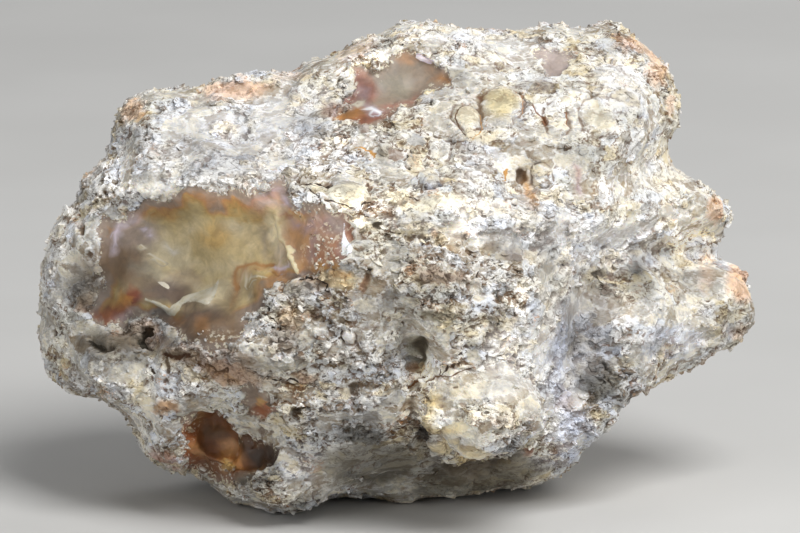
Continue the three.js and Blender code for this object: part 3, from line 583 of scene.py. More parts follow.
PLATES = {"front": [
    ([(-28.2, -3.5), (-26.6, -4.0), (-25.6, -4.6), (-24.9, -4.0), (-23.9, -3.2), (-22.2, -2.6),
      (-20.9, -2.2), (-20.0, -1.4), (-20.4, -2.9), (-21.1, -4.0), (-22.6, -3.7), (-24.1, -4.0),
      (-24.6, -4.7), (-25.1, -5.4), (-25.9, -5.3), (-26.5, -4.7), (-28.1, -3.9)], "wax", 0.15),
    ([(-26.8, -1.6), (-25.9, -1.7), (-25.2, -2.2), (-25.5, -2.5), (-26.3, -2.2)], "ivory", 0.15),
    # white chips painted as bright as glints: the chips' own white with a painted highlight
    ([(-6.4, 4.6), (-6.1, 3.2), (-5.2, 2.2), (-5.3, 1.5), (-5.9, 1.2), (-6.6, 1.6), (-6.7, 2.4)],
     "bright", 0.2),
    ([(13.1, 2.7), (13.9, 2.6), (14.0, 1.9), (13.7, 1.4), (13.3, 1.9)], "bright", 0.2),
    ([(0.5, 13.6), (1.4, 13.9), (2.4, 13.6), (2.6, 12.9), (1.2, 12.8)], "grey", 0.1),
    ([(-1.4, 12.9), (-0.2, 12.6), (0.4, 11.8), (-0.5, 11.3), (-1.3, 12.0)], "taupe", 0.1),
    ([(-4.8, 15.7), (-3.9, 15.8), (-3.5, 15.0), (-4.1, 14.3), (-4.7, 14.8)], "taupe", 0.1),
    ([(1.6, 23.5), (2.6, 22.9), (3.7, 22.5), (3.2, 22.1), (2.1, 22.4), (1.4, 22.9)], "lilac", 0.2),
    ([(2.4, 18.8), (3.0, 19.5), (3.9, 19.4), (3.3, 19.0), (2.8, 18.6)], "pale_yellow", 0.2),
    ([(-12.3, 2.4), (-11.9, 2.3), (-11.7, 1.6), (-11.8, 1.2), (-11.4, 0.5), (-11.0, -0.2), (-11.1, -0.9),
      (-11.5, -1.0), (-11.6, -0.2), (-12.0, 0.5), (-12.1, 1.4)], "pale_yellow", 0.15),
], "back": [
    ([(-2.8, 0.3), (-0.8, 0.2), (1.0, -0.5), (2.4, -0.2), (3.8, 0.7), (5.2, 0.4), (6.4, -0.7), (5.0, -0.4),
      (3.8, -0.4), (2.6, -1.2), (1.0, -1.4), (-0.6, -0.7)], "wax", 0.15),
]}

# Round waxy buttons: middle, radius, height

BUTTONS = {"front": [
    ((7.3, 16.3), 1.5, 0.4),
    ((11.0, 17.6), 2.2, 0.4),
    ((3.9, 12.7), 1.3, 0.5),
    ((1.6, 11.4), 1.0, 0.45),
    ((3.1, 9.5), 1.1, 0.45),
    ((17.1, 16.1), 1.5, 0.35),
    ((21.7, 16.0), 2.0, 0.35),
    ((15.6, 9.6), 1.3, 0.4),
    ((-5.4, -7.8), 0.7, 0.35),
    ((-5.7, 7.8), 2.2, 0.4),
    ((-10.7, -2.8), 2.0, 0.5),
    ((3.9, -20.2), 1.1, 0.5),
], "back": [
    ((8.0, 14.4), 1.7, 0.6),
    ((11.6, 13.0), 1.3, 0.5),
    ((-13.0, 3.0), 1.6, 0.5),
    ((-10.4, 1.2), 1.1, 0.4),
    ((19.4, -3.6), 1.5, 0.5),
], "left": [
    ((4.6, 2.0), 1.6, 0.5),
], "right": [
    ((-1.0, -2.0), 1.4, 0.5),
], "top": [
    ((8.0, 6.0), 1.6, 0.5),
]}

# Holes: middle, reach, depth

HOLES = {"front": [
    ((2.0, -9.2), (1.0, 1.4), 0.4),
    ((-3.5, -1.0), (0.5, 1.2), 0.8),
    ((13.1, 9.6), (0.8, 0.8), 1.1),
    ((-28.1, -8.3), (0.6, 1.0), 1.2),
    ((-35.2, 4.1), (0.45, 0.8), 0.9),
    ((-38.6, -7.2), (0.4, 0.9), 0.8),
    ((22.0, -1.1), (0.9, 0.6), 0.9),
    ((-32.6, -9.0), (2.2, 0.7), 0.7),
], "back": [
    ((-17.6, 2.2), (0.9, 1.8), 1.1),
    ((16.8, 8.6), (0.8, 0.7), 1.0),
    ((-2.0, -10.4), (1.8, 0.9), 1.1),
    ((-26.0, -6.0), (0.8, 1.4), 1.0),
], "left": [
    ((-1.0, -4.6), (1.0, 1.6), 1.0),
], "right": [
    ((10.0, 1.0), (0.9, 1.3), 1.0),
], "top": [
    ((0.0, 9.0), (1.2, 0.8), 1.0),
]}

# Windows that lie deep, as pockets do: middle, reach, depth

DEEP_PLACES = {"front": [
    ((-18.6, -20.2), (8.0, 6.4), 1.1),
], "back": [
    ((23.6, -11.4), (5.6, 4.6), 1.0),
]}

# Painted light and shade, partly the stone's own lighter and darker tone: where the front is lighter (or,
# negative, darker) than its colours: middle, reach, how much

PAINTED_LIGHT_SHADE_AND_TONE = [
    ((-34.4, -3.1), (3.6, 2.6), -0.5),
    ((-34.8, -6.6), (2.0, 1.4), -0.2),
    ((-34.8, -10.6), (2.0, 1.2), -0.2),
    ((-27.2, 0.0), (6.5, 4.4), -0.28),
    ((-19.6, 0.4), (5.6, 3.4), -0.1),
    ((-20.0, -3.2), (3.6, 2.4), -0.3),
    ((-14.2, -3.6), (1.6, 1.6), -0.26),
    ((-30.4, -4.9), (4.4, 1.8), -0.26, -6),
    ((-26.2, -5.8), (2.4, 1.4), -0.6),
    ((-25.6, 5.2), (5.0, 1.4), -0.28, 10),
    ((-14.6, 6.4), (1.7, 1.0), 0.4),
    ((-13.8, 2.5), (0.9, 2.6), 0.36, 10),
    ((-21.2, -6.4), (3.8, 2.4), -0.22),
    ((-31.5, -8.6), (5.0, 2.2), -0.56, -4),
    ((-29.0, -10.6), (2.2, 1.2), -0.3),
    ((-23.5, -9.4), (5.0, 1.7), -0.3, -8),
    ((-15.6, -10.6), (4.4, 1.3), -0.36, -14),
    ((-16.6, -7.5), (1.5, 1.0), 0.5),
    ((-30.6, -12.4), (1.6, 2.6), -0.26),
    ((-11.4, -8.4), (2.8, 1.6), -0.28, -10),
    ((-10.8, -5.8), (2.8, 1.3), 0.45),
    ((-6.2, -2.5), (1.4, 1.4), 0.85),
    ((-3.4, -4.2), (2.2, 1.2), -0.3),
    ((-27.0, -15.5), (3.4, 4.4), 0.14),
    ((-23.0, -19.0), (1.4, 2.4), 0.9),
    ((-19.4, -20.4), (2.6, 2.2), 0.3),
    ((-27.0, 8.4), (7.0, 1.0), 0.2, 4),
    ((-27.6, 9.4), (1.6, 1.1), -0.36),
    ((-18.8, 7.6), (5.2, 1.6), 0.8),
    ((-20.0, 11.2), (4.6, 1.7), -0.3, 10),
    ((-31.8, 9.8), (2.8, 2.6), 0.36),
    ((-10.2, 15.3), (2.6, 1.8), -0.38),
    ((-5.0, 17.6), (2.4, 1.4), -0.2, 10),
    ((-4.6, 19.4), (1.6, 1.8), -0.26),
    ((-1.0, 20.0), (2.6, 2.0), -0.14),
    ((-4.6, 22.2), (3.0, 1.4), 0.85, 10),
    ((1.4, 24.2), (2.0, 2.6), 0.34, 30),
    ((6.2, 21.1), (1.6, 1.3), -0.4),
    ((-7.6, 11.4), (4.0, 2.4), 0.26, 40),
    ((-6.0, 13.8), (1.5, 1.3), 0.34),
    ((-36.5, 2.6), (2.0, 5.0), 0.14, 10),
    ((-6.6, 6.0), (7.4, 1.6), 0.55, -3),
    ((-3.0, 5.0), (2.6, 1.5), 0.6),
    ((-9.8, 4.6), (2.0, 1.0), 0.36),
    ((-4.0, 2.0), (1.3, 0.8), -0.42),
    ((-0.2, 0.6), (1.8, 1.4), -0.48, 20),
    ((2.4, -2.7), (3.8, 1.5), -0.42),
    ((6.6, 2.8), (2.2, 1.6), 0.4),
    ((11.8, 1.5), (2.8, 1.5), -0.42, 8),
    ((16.2, 0.4), (1.5, 3.0), -0.36),
    ((7.4, 5.4), (2.4, 3.2), 0.24),
    ((4.0, -7.0), (4.0, 1.2), 0.2),
    ((12.4, -4.0), (1.5, 2.0), 0.55, 10),
    ((10.2, -5.4), (1.4, 1.6), -0.3),
    ((3.4, -11.2), (3.8, 1.8), 0.45),
    ((1.3, -15.0), (1.4, 3.0), 0.6, -6),
    ((0.0, -13.8), (0.9, 1.2), -0.5),
    ((2.6, -18.4), (1.2, 1.8), -0.5),
    ((11.6, -9.2), (2.6, 1.6), 0.36, -20),
    ((8.4, -17.4), (4.4, 2.2), 0.3, -20),
    ((17.6, -12.6), (1.8, 2.6), 0.44),
    ((20.2, -10.2), (1.6, 1.4), 0.24),
    ((18.6, -17.8), (2.6, 3.8), 0.6, -30),
    ((11.4, -22.4), (7.4, 1.4), 0.36, 12),
    ((12.8, -20.1), (2.6, 1.1), -0.45),
    ((-4.0, -17.8), (2.4, 1.8), -0.45),
    ((-7.6, -18.8), (2.6, 1.0), -0.34),
    ((-13.9, -22.6), (1.7, 1.6), -0.5),
    ((-16.2, -24.0), (2.0, 1.2), -0.45),
    ((-10.4, -26.6), (3.4, 1.3), -0.66),
    ((-9.4, -22.2), (2.6, 1.7), 0.65),
    ((-11.0, -14.3), (2.4, 1.3), 0.95, 6),
    ((-3.2, -13.4), (2.6, 1.4), 0.36, -20),
    ((9.6, 12.4), (4.4, 3.0), 0.1),
    ((19.6, 16.4), (2.0, 2.4), 0.16),
    ((19.2, 12.4), (3.4, 1.6), -0.3, -6),
    ((24.6, 18.6), (1.8, 4.4), -0.2, 10),
    ((15.8, 21.8), (1.5, 1.3), -0.16),
    ((16.0, 7.6), (1.6, 1.8), 0.2),
    ((23.0, 7.8), (2.6, 2.4), 0.44, -10),
    ((24.0, 3.4), (3.4, 1.4), 0.3, -4),
    ((27.6, 13.2), (1.2, 3.6), 0.3),
    ((19.6, 2.0), (2.2, 2.4), 0.3),
    ((22.4, -0.6), (1.6, 1.8), 0.34, 30),
    ((18.3, -6.6), (1.0, 3.0), -0.16),
    ((32.4, 2.6), (3.0, 3.2), 0.75, -10),
    ((33.6, -2.0), (3.0, 2.0), -0.36),
    ((26.4, -1.8), (2.0, 2.6), -0.6, 20),
    ((23.8, -5.0), (2.4, 2.0), 0.5, 40),
    ((31.8, -7.8), (2.6, 2.4), 0.4),
    ((37.0, -6.6), (4.0, 2.8), -0.3, -20),
    ((26.0, -11.2), (1.5, 1.2), -0.36),
    ((24.0, -14.4), (3.6, 1.6), -0.36, -30),
    ((17.4, -20.8), (2.2, 1.4), 0.4, 30),
    ((7.6, -23.4), (2.6, 1.2), 0.3),
    ((20.4, -13.2), (1.4, 1.8), -0.4),
    ((24.8, 10.6), (1.6, 1.4), 0.45),
    ((28.2, 4.2), (2.6, 2.6), 0.26),
    ((22.8, -12.0), (1.6, 1.2), 0.4),
    ((24.8, -0.4), (2.2, 1.2), -0.4, 20),
    ((1.0, 5.6), (1.8, 1.0), -0.3),
    ((-23.4, 14.4), (1.8, 1.4), -0.28),
    ((-19.4, 15.0), (1.4, 1.3), 0.45),
    ((-22.2, 1.0), (1.6, 2.0), 0.12),
    ((-28.0, -4.2), (1.8, 1.6), -0.2),
    ((-25.2, -7.8), (1.4, 1.2), -0.4, -30),
    ((-12.8, -6.6), (0.9, 2.2), -0.22, -20),
    ((-6.2, 8.0), (1.4, 1.4), -0.28),
    ((-11.2, 8.6), (1.2, 1.0), -0.22),
    ((-5.0, 12.8), (1.4, 1.8), 0.3, 30),
    ((13.0, 8.0), (1.8, 0.9), 0.22),
    ((13.8, 22.8), (3.6, 2.0), 0.16),
    ((23.2, 24.0), (1.6, 1.4), -0.22),
    ((-21.6, -12.8), (3.2, 1.0), 0.26),
    ((4.2, 1.8), (1.8, 1.2), 0.4),
    ((0.0, 7.8), (2.2, 1.1), 0.36),
    ((-8.6, 9.8), (1.4, 1.2), 0.3),
    ((-29.8, 11.4), (1.5, 1.3), 0.4),
    ((31.4, -0.4), (2.6, 1.2), -0.3),
    ((7.6, 13.0), (1.6, 1.3), -0.28),
    ((24.6, 21.4), (1.8, 1.8), 0.24),
    ((-29.8, -6.2), (1.4, 0.8), -0.3),
    ((-27.6, -7.2), (0.9, 0.9), 0.35),
    ((7.8, -9.8), (1.0, 1.8), -0.3),
    ((15.2, -3.8), (1.3, 1.4), -0.2),
    ((-23.8, -16.0), (2.0, 1.0), -0.26, 30),
    ((11.0, -12.8), (3.0, 1.2), -0.22, 10),
]

# Where pale crumbs of crust are left on the windows: middle, reach, share

FLECKED_PLACES = {"front": [
    ((-8.2, 1.8), (3.0, 3.2), 0.7),
    ((-10.6, 5.8), (2.4, 1.2), 0.5, -10),
    ((-20.5, -8.2), (3.0, 1.4), 0.8),
    ((-29.0, -5.8), (4.0, 0.8), 0.4),
    ((-15.2, -22.8), (2.2, 1.2), 0.5),
    ((-17.4, -18.2), (2.8, 0.9), 0.7, -35),
    ((-23.2, -17.8), (1.8, 1.8), 0.6),
    ((-20.4, -23.2), (2.4, 0.9), 0.5, -20),
    ((-0.6, 17.6), (2.4, 0.8), 0.5, 25),
], "back": [
    ((9.4, -3.8), (3.4, 1.3), 0.6),
    ((-3.4, 3.2), (1.4, 2.0), 0.5, -30),
]}

# How rough the crust is in places: middle, reach, roughness (1 is the front face's)

CALM_PLACES = {"front": [
    ((8.0, 11.0), (15.0, 7.0), 0.7),
    ((9.0, -15.4), (6.4, 4.8), 0.9),
    ((-11.0, -7.5), (7.0, 7.5), 1.3),
    ((4.0, 0.5), (8.0, 3.6), 1.15, -14),
    ((-14.0, -18.5), (7.0, 5.0), 1.3),
    ((-5.7, 7.6), (3.4, 1.5), 0.2, -8),
    ((-9.0, 8.4), (2.4, 1.0), 0.2, -25),
    ((4.0, 6.8), (3.6, 1.2), 0.25, 5),
    ((11.0, 17.6), (2.6, 2.6), 0.2),
    ((7.3, 16.3), (1.8, 1.8), 0.2),
    ((16.0, -4.0), (2.2, 8.5), 0.6, -4),
    ((31.0, -4.0), (10.0, 8.0), 0.5),
    ((26.0, 12.0), (8.0, 9.0), 0.5),
    ((14.0, 20.0), (16.0, 5.0), 0.6),
    ((-19.0, 15.0), (16.0, 6.0), 0.65, 10),
    ((-3.4, -21.8), (8.0, 3.2), 0.45, 5),
    ((1.8, -9.6), (2.2, 3.2), 0.3),
    ((-37.0, -3.0), (6.5, 12.0), 0.6, 10),
    ((-29.0, -11.0), (8.0, 4.0), 0.6, -20),
    ((20.0, -9.0), (4.0, 8.0), 0.7, -10),
    ((7.0, -24.5), (14.0, 2.8), 0.5, 6),
], "back": [
    ((-9.0, 8.4), (3.4, 1.7), 0.2, 10),
    ((16.4, -2.6), (2.2, 3.6), 0.25),
    ((8.0, 14.4), (2.0, 2.0), 0.2),
    ((4.0, -14.0), (10.0, 4.0), 0.6),
    ((-30.0, 0.0), (8.0, 8.0), 0.6),
]}


# Noise, all of it from whole-number hashes, so that each run gives the same stone

def scrambled(cell, seed):
    """A scrambled whole number for each whole-number point."""
    n = np.full(cell.shape[:-1], (seed * 0x9E3779B9) & 0xFFFFFFFF, np.uint32)
    for axis, factor in enumerate((0x8DA6B343, 0xD8163841, 0xCB1AB31F)):
        n += cell[..., axis].astype(np.uint32) * np.uint32(factor)
    for shift, factor in ((15, 0x85EBCA6B), (13, 0xC2B2AE35)):
        n ^= n >> np.uint32(shift)
        n *= np.uint32(factor)
    return n ^ (n >> np.uint32(16))


def hashed(cell, seed):
    """A number from 0 to 1 for each whole-number point."""
    return scrambled(cell, seed).astype(np.float32) / np.float32(2**32)


def hashed_three(cell, seed):
    """Three numbers from 0 to 1 for each whole-number point."""
    n = scrambled(cell, seed)
    parts = [(n >> np.uint32(shift)) & np.uint32(1023) for shift in (0, 10, 20)]
    return np.stack(parts, 1).astype(np.float32) / np.float32(1023)


def wave(points, size, seed=0):
    """Smooth noise from about -1 to 1 with bumps of a given size."""
    place = (points / size).astype(np.float32)
    base = np.floor(place)
    inner = place - base
    cell = base.astype(np.int64)
    fade = inner**3 * (inner * (inner * 6 - 15) + 10)
    total = np.zeros(len(points), np.float32)
    for corner in np.ndindex(2, 2, 2):
        slope = hashed_three(cell + np.array(corner), seed) * 2 - 1
        offset = inner - np.array(corner, np.float32)
        share = np.prod(np.where(corner, fade, 1 - fade), axis=1)
        total += share * np.einsum("ij,ij->i", slope, offset)
    return total * 1.6


def waves(points, size, seed=0, octaves=3, gain=0.5):
    """Smooth noise with finer and finer bumps on it."""
    total = 0
    for octave in range(octaves):
        total = total + gain**octave * wave(points, size / 2**octave, seed + 7 * octave)
    return total


def waves_each_way(points, size, seed, octaves=2):
    return np.stack([waves(points, size, seed + axis, octaves) for axis in range(3)], 1)


def cells(points, size, seed=0):
    """The nearest of some scattered seeds: how far it is, which one it is, and the way to it."""
    place = (points / size).astype(np.float32)
    cell = np.floor(place).astype(np.int64)
    nearest = np.full(len(points), 9.0, np.float32)
    owner = np.zeros((len(points), 3), np.int64)
    to_seed = np.zeros((len(points), 3), np.float32)
    for step in np.ndindex(3, 3, 3):
        at = cell + np.array(step) - 1
        offset = (at + hashed_three(at, seed) - place).astype(np.float32)
        distance = np.linalg.norm(offset, axis=1)
        closer = distance < nearest
        nearest[closer] = distance[closer]
        owner[closer] = at[closer]
        to_seed[closer] = offset[closer]
    return nearest, owner, to_seed


def smooth_step(value, low, high):
    share = np.clip((value - low) / (high - low), 0, 1)
    return share * share * (3 - 2 * share)


def linear(name):
    """A palette colour as the amounts of light that Blender works with."""
    colour = np.array(PALETTE[name])
    return np.where(colour <= 0.04045, colour / 12.92, ((colour + 0.055) / 1.055) ** 2.4)


# Places in a view

class Sight:
    """The stone's points as one view shows them, and how much each faces it."""

    def __init__(self, points, normals, axes, wander):
        across, up, deep = axes
        offset = points - HEART
        self.place = np.stack([offset @ across, offset @ up], 1)
        self.loose = self.place + np.stack([wander @ across, wander @ up], 1)
        self.facing = -(normals @ deep)
        self.shows = smooth_step(self.facing, -0.05, 0.2)

    def leave_out(self, other):
        """Keeps this view's marks off what another view shows."""
        self.shows *= 1 - smooth_step(other.facing, -0.15, 0.1)
        self.facing = np.where(other.facing > 0.0, -1.0, self.facing)

    def oval(self, at, reach, turn, low, high):
        """A soft oval: 0 outside it, and 1 from some way in. Low and high are where it starts and
        ends rising, as shares of the way from its rim to its middle."""
        angle = math.radians(turn[0] if turn else 0.0)
        across = self.loose[:, 0] - at[0]
        up = self.loose[:, 1] - at[1]
        along = (across * math.cos(angle) + up * math.sin(angle)) / reach[0]
        over = (up * math.cos(angle) - across * math.sin(angle)) / reach[1]
        return smooth_step(1 - np.hypot(along, over), low, high) * self.shows


def sights_of(points, normals):
    """The stone as each view shows it. The soft marks wander a little, so that none is a clean shape."""
    wander = 0.5 * waves_each_way(points, 3.4, seed=201) + 0.22 * waves_each_way(points, 1.0, seed=211)
    sights = {name: Sight(points, normals, axes, wander) for name, axes in VIEWS.items()}
    for name, sight in sights.items():
        if name != "front":
            sight.leave_out(sights["front"])
    return sights


def placed(table, sights):
    """Each row of a table, after the sight of the view that it is placed in."""
    for view, rows in table.items():
        for row in rows:
            yield sights[view], *row


def level_field(sights, value=0.0):
    """The same value for each point."""
    return np.full(len(sights["front"].place), value)


def depth_in_outline(place, outline):
    """How many millimetres each point lies inside a closed outline, negative outside."""
    corners = np.array(outline)
    ends = np.roll(corners, -1, axis=0)
    nearest = np.full(len(place), np.inf)
    inside = np.zeros(len(place), bool)
    for corner, end in zip(corners, ends):
        span = end - corner
        offset = place - corner
        share = np.clip(offset @ span / (span @ span), 0, 1)
        gap = offset - share[:, None] * span
        nearest = np.minimum(nearest, np.hypot(gap[:, 0], gap[:, 1]))
        crosses = (corner[1] > place[:, 1]) != (end[1] > place[:, 1])
        reached = corner[0] + (place[:, 1] - corner[1]) * span[0] / (span[1] or 1)
        inside ^= crosses & (place[:, 0] < reached)
    return np.where(inside, nearest, -nearest)


def along_line(place, line):
    """How far each point near a line lies to its left (negative: right), and how far along, 0 to 1."""
    corners = np.array(line)
    low = corners.min(0) - LINE_MARGIN
    high = corners.max(0) + LINE_MARGIN
    near = np.flatnonzero(np.all((place > low) & (place < high), axis=1))
    spans = np.diff(corners, axis=0)
    lengths = np.hypot(spans[:, 0], spans[:, 1])
    starts = np.concatenate(([0], np.cumsum(lengths)))
    nearest = np.full(len(near), np.inf)
    side = np.full(len(near), LINE_MARGIN)
    along = np.zeros(len(near))
    for corner, span, length, start in zip(corners, spans, lengths, starts):
        offset = place[near] - corner
        share = np.clip(offset @ span / length**2, 0, 1)
        gap = offset - share[:, None] * span
        distance = np.hypot(gap[:, 0], gap[:, 1])
        left = span[0] * offset[:, 1] - span[1] * offset[:, 0]
        closer = distance < nearest
        nearest = np.where(closer, distance, nearest)
        side = np.where(closer, np.where(left < 0, -distance, distance), side)
        along = np.where(closer, (start + share * length) / starts[-1], along)
    return near, side, along


def fading_ends(along, low, high):
    """1 along a line, and falling to 0 at both of its ends."""
    return smooth_step(along, low, high) * smooth_step(1 - along, low, high)


# Shape

def windows_seen(points, sights):
    """How many millimetres each point lies inside the ragged rim of a window, negative outside."""
    teeth = RIM_TEETH * waves(points, 2.1, seed=5)
    inside = level_field(sights, FAR_OUTSIDE)
    for view, outlines in WINDOWS.items():
        sight = sights[view]
        for outline in outlines:
            depth = depth_in_outline(sight.loose, outline) + teeth
            inside = np.maximum(inside, np.where(sight.facing > 0.02, depth, FAR_OUTSIDE))
    return inside


def broken_facets(points, size, seed):
    """Flat chips that each lie and lean in their own way, with steps between them."""
    distance, owner, to_seed = cells(points, size, seed)
    lean = hashed_three(owner, seed + 5) - 0.5
    level = hashed(owner, seed + 9) - 0.5
    return level + 1.6 * np.einsum("ij,ij->i", lean, to_seed)


def scattered_pits(points, size, share, seed):
    """Scattered small holes, 1 at their bottom and 0 outside."""
    warped = points + 0.35 * size * waves_each_way(points, size / 2, seed)
    distance, owner, to_seed = cells(warped, size, seed)
    has_pit = hashed(owner, seed + 17) < share
    radius = 0.16 + 0.14 * hashed(owner, seed + 18)
    return np.where(has_pit, smooth_step(-distance, -radius, -0.4 * radius), 0)


def share_in_places(places, sights):
    """The largest share that any of the soft ovals gives each point."""
    share = level_field(sights)
    for sight, at, reach, most, *turn in placed(places, sights):
        share = np.maximum(share, most * sight.oval(at, reach, turn, -0.1, 0.5))
    return share


def painted_light_shade_and_tone(sights):
    """How much lighter each point is than its colour says, negative for darker: painted light and shade,
    partly the stone's own tone.
    """
    tone = level_field(sights)
    for at, reach, more, *turn in PAINTED_LIGHT_SHADE_AND_TONE:
        tone += more * sights["front"].oval(at, reach, turn, -0.3, 0.6)
    return tone


def roughness_of_crust(sights):
    """How rough the crust is: 1 on the front face, less towards the back and in calm places."""
    rough = 0.62 + 0.38 * smooth_step(sights["front"].facing, 0.15, 0.6)
    for sight, at, reach, calm, *turn in placed(CALM_PLACES, sights):
        rough *= 1 - sight.oval(at, reach, turn, 0.0, 0.35) * (1 - calm)
    return rough


def crest_lines(points, size, seed, octaves=2):
    """Sharp thin crests with round hollows between them, as on crinkled flakes."""
    return 0.45 - 1.7 * np.abs(waves(points, size, seed, octaves))


def crust_relief(points):
    """The crust's own relief, in millimetres outwards."""
    flat_places = points * np.array((0.55, 0.7, 1.0))
    lumps = np.abs(waves(points, 5.5, seed=11)) * 1.3 - 0.45
    chips = broken_facets(points, 2.6, seed=21)
    flakes = broken_facets(flat_places, 1.0, seed=31)
    coarse_crests = crest_lines(flat_places, 1.7, seed=41)
    fine_crests = crest_lines(flat_places, 0.8, seed=45)
    return 0.5 * lumps + 0.28 * chips + 0.26 * flakes + 0.36 * coarse_crests + 0.2 * fine_crests


def raised_buttons(sights):
    """Round waxy domes with a groove around them."""
    height = level_field(sights)
    for sight, at, radius, rise in placed(BUTTONS, sights):
        out = np.hypot(*(sight.loose - np.array(at)).T) / radius
        dome = np.sqrt(np.clip(1 - out**4, 0, 1)) * rise
        groove = 0.5 * rise * np.exp(-(((out - 1.08) / 0.12) ** 2))
        height += (dome - groove) * (sight.facing > 0)
    return height


def holes_in_places(sights):
    """How deep each point lies in the nearest of the larger holes."""
    depth = level_field(sights)
    for sight, at, reach, drop in placed(HOLES, sights):
        depth = np.maximum(depth, drop * sight.oval(at, reach, None, -0.1, 0.6))
    return depth


def ledge_steps(sights):
    """Steps down along the right side of each ledge, which fade out into the ground."""
    height = level_field(sights)
    for sight, line, drop, reach in placed(LEDGES, sights):
        near, side, along = along_line(sight.loose, line)
        low_side = smooth_step(-side, -0.12, 0.12) * (1 - smooth_step(-side, 0.3, reach))
        height[near] -= drop * low_side * fading_ends(along, 0.0, 0.12) * sight.shows[near]
    return height


def ribs_and_grooves(sights):
    height = level_field(sights)
    for sight, line, width, rise in placed(RIBS, sights):
        near, side, along = along_line(sight.loose, line)
        round_top = np.clip(1 - (side / width) ** 2, 0, 1) ** 1.5
        height[near] += rise * round_top * fading_ends(along, 0.0, 0.1) * sight.shows[near]
    return height


class Plates:
    """How many millimetres each point lies inside the nearest plate's rim, and that plate's colour."""

    def __init__(self, sights):
        self.inside = level_field(sights, -PLATE_MARGIN)
        self.colour = np.tile(linear("cream"), (len(self.inside), 1))
        self.rise = level_field(sights)
        for sight, outline, name, rise in placed(PLATES, sights):
            wobbly = sight.place + 0.2 * (sight.loose - sight.place)
            depth = np.where(sight.facing > 0, depth_in_outline(wobbly, outline), -PLATE_MARGIN)
            self.rise += rise * smooth_step(depth, -0.12, 0.25)
            closer = depth > self.inside
            self.inside[closer] = depth[closer]
            self.colour[closer] = linear(name)


class Lines:
    """The nearest thin line at each point: its side in widths, how near it is, and its colour."""

    def __init__(self, sights):
        self.side = level_field(sights, LINE_MARGIN)
        self.near = level_field(sights)
        self.colour = np.tile(linear("umber"), (len(self.side), 1))
        self.cut = level_field(sights)
        for row in placed(THIN_LINES, sights):
            self.add(*row)

    def add(self, sight, line, width, name, depth):
        wobbly = 0.5 * (sight.place + sight.loose)
        near, side, along = along_line(wobbly, line)
        nearness = smooth_step(-np.abs(side), -width - 0.5, -width - 0.25) * fading_ends(along, 0.0, 0.08)
        nearness *= sight.facing[near] > 0
        closer = nearness > self.near[near]
        chosen = near[closer]
        self.side[chosen] = side[closer] / width
        self.near[chosen] = nearness[closer]
        self.colour[chosen] = linear(name)
        self.cut[chosen] = depth * np.exp(-((side[closer] / (width + 0.12)) ** 2)) * nearness[closer]


class Marks:
    """Layers of colour laid over each other, each covering the ones before by its share."""

    def __init__(self, count):
        self.colour = np.tile(linear("ivory"), (count, 1))
        self.share = np.zeros(count)

    def lay(self, name, share):
        under = self.share * (1 - share)
        total = share + under
        weight = np.where(total > 1e-6, share / np.maximum(total, 1e-6), 0)
        self.colour += weight[:, None] * (linear(name) - self.colour)
        self.share = total

    def lay_ovals(self, ovals, sights, mask):
        for sight, at, reach, name, share, *turn in placed(ovals, sights):
            self.lay(name, sight.oval(at, reach, turn, -0.12, 0.5) * share * mask)

    def lay_bands(self, bands, sights, mask):
        for sight, line, width, name, share in placed(bands, sights):
            near, side, along = along_line(sight.loose, line)
            covered = np.zeros(len(self.share))
            covered[near] = np.exp(-((side / width) ** 2)) * (0.35 + 0.65 * fading_ends(along, -0.05, 0.1))
            self.lay(name, covered * share * sight.shows * mask)


def marks_of(sights, on_crust, in_window):
    """The colour that all the marks leave at each point, and how fully they cover it."""
    marks = Marks(len(on_crust))
    marks.lay_ovals(CRUST_OVALS, sights, on_crust)
    marks.lay_bands(CRUST_BANDS, sights, on_crust)
    marks.lay_ovals(WINDOW_OVALS, sights, in_window)
    marks.lay_bands(WINDOW_BANDS, sights, in_window)
    return np.column_stack([marks.colour, marks.share])


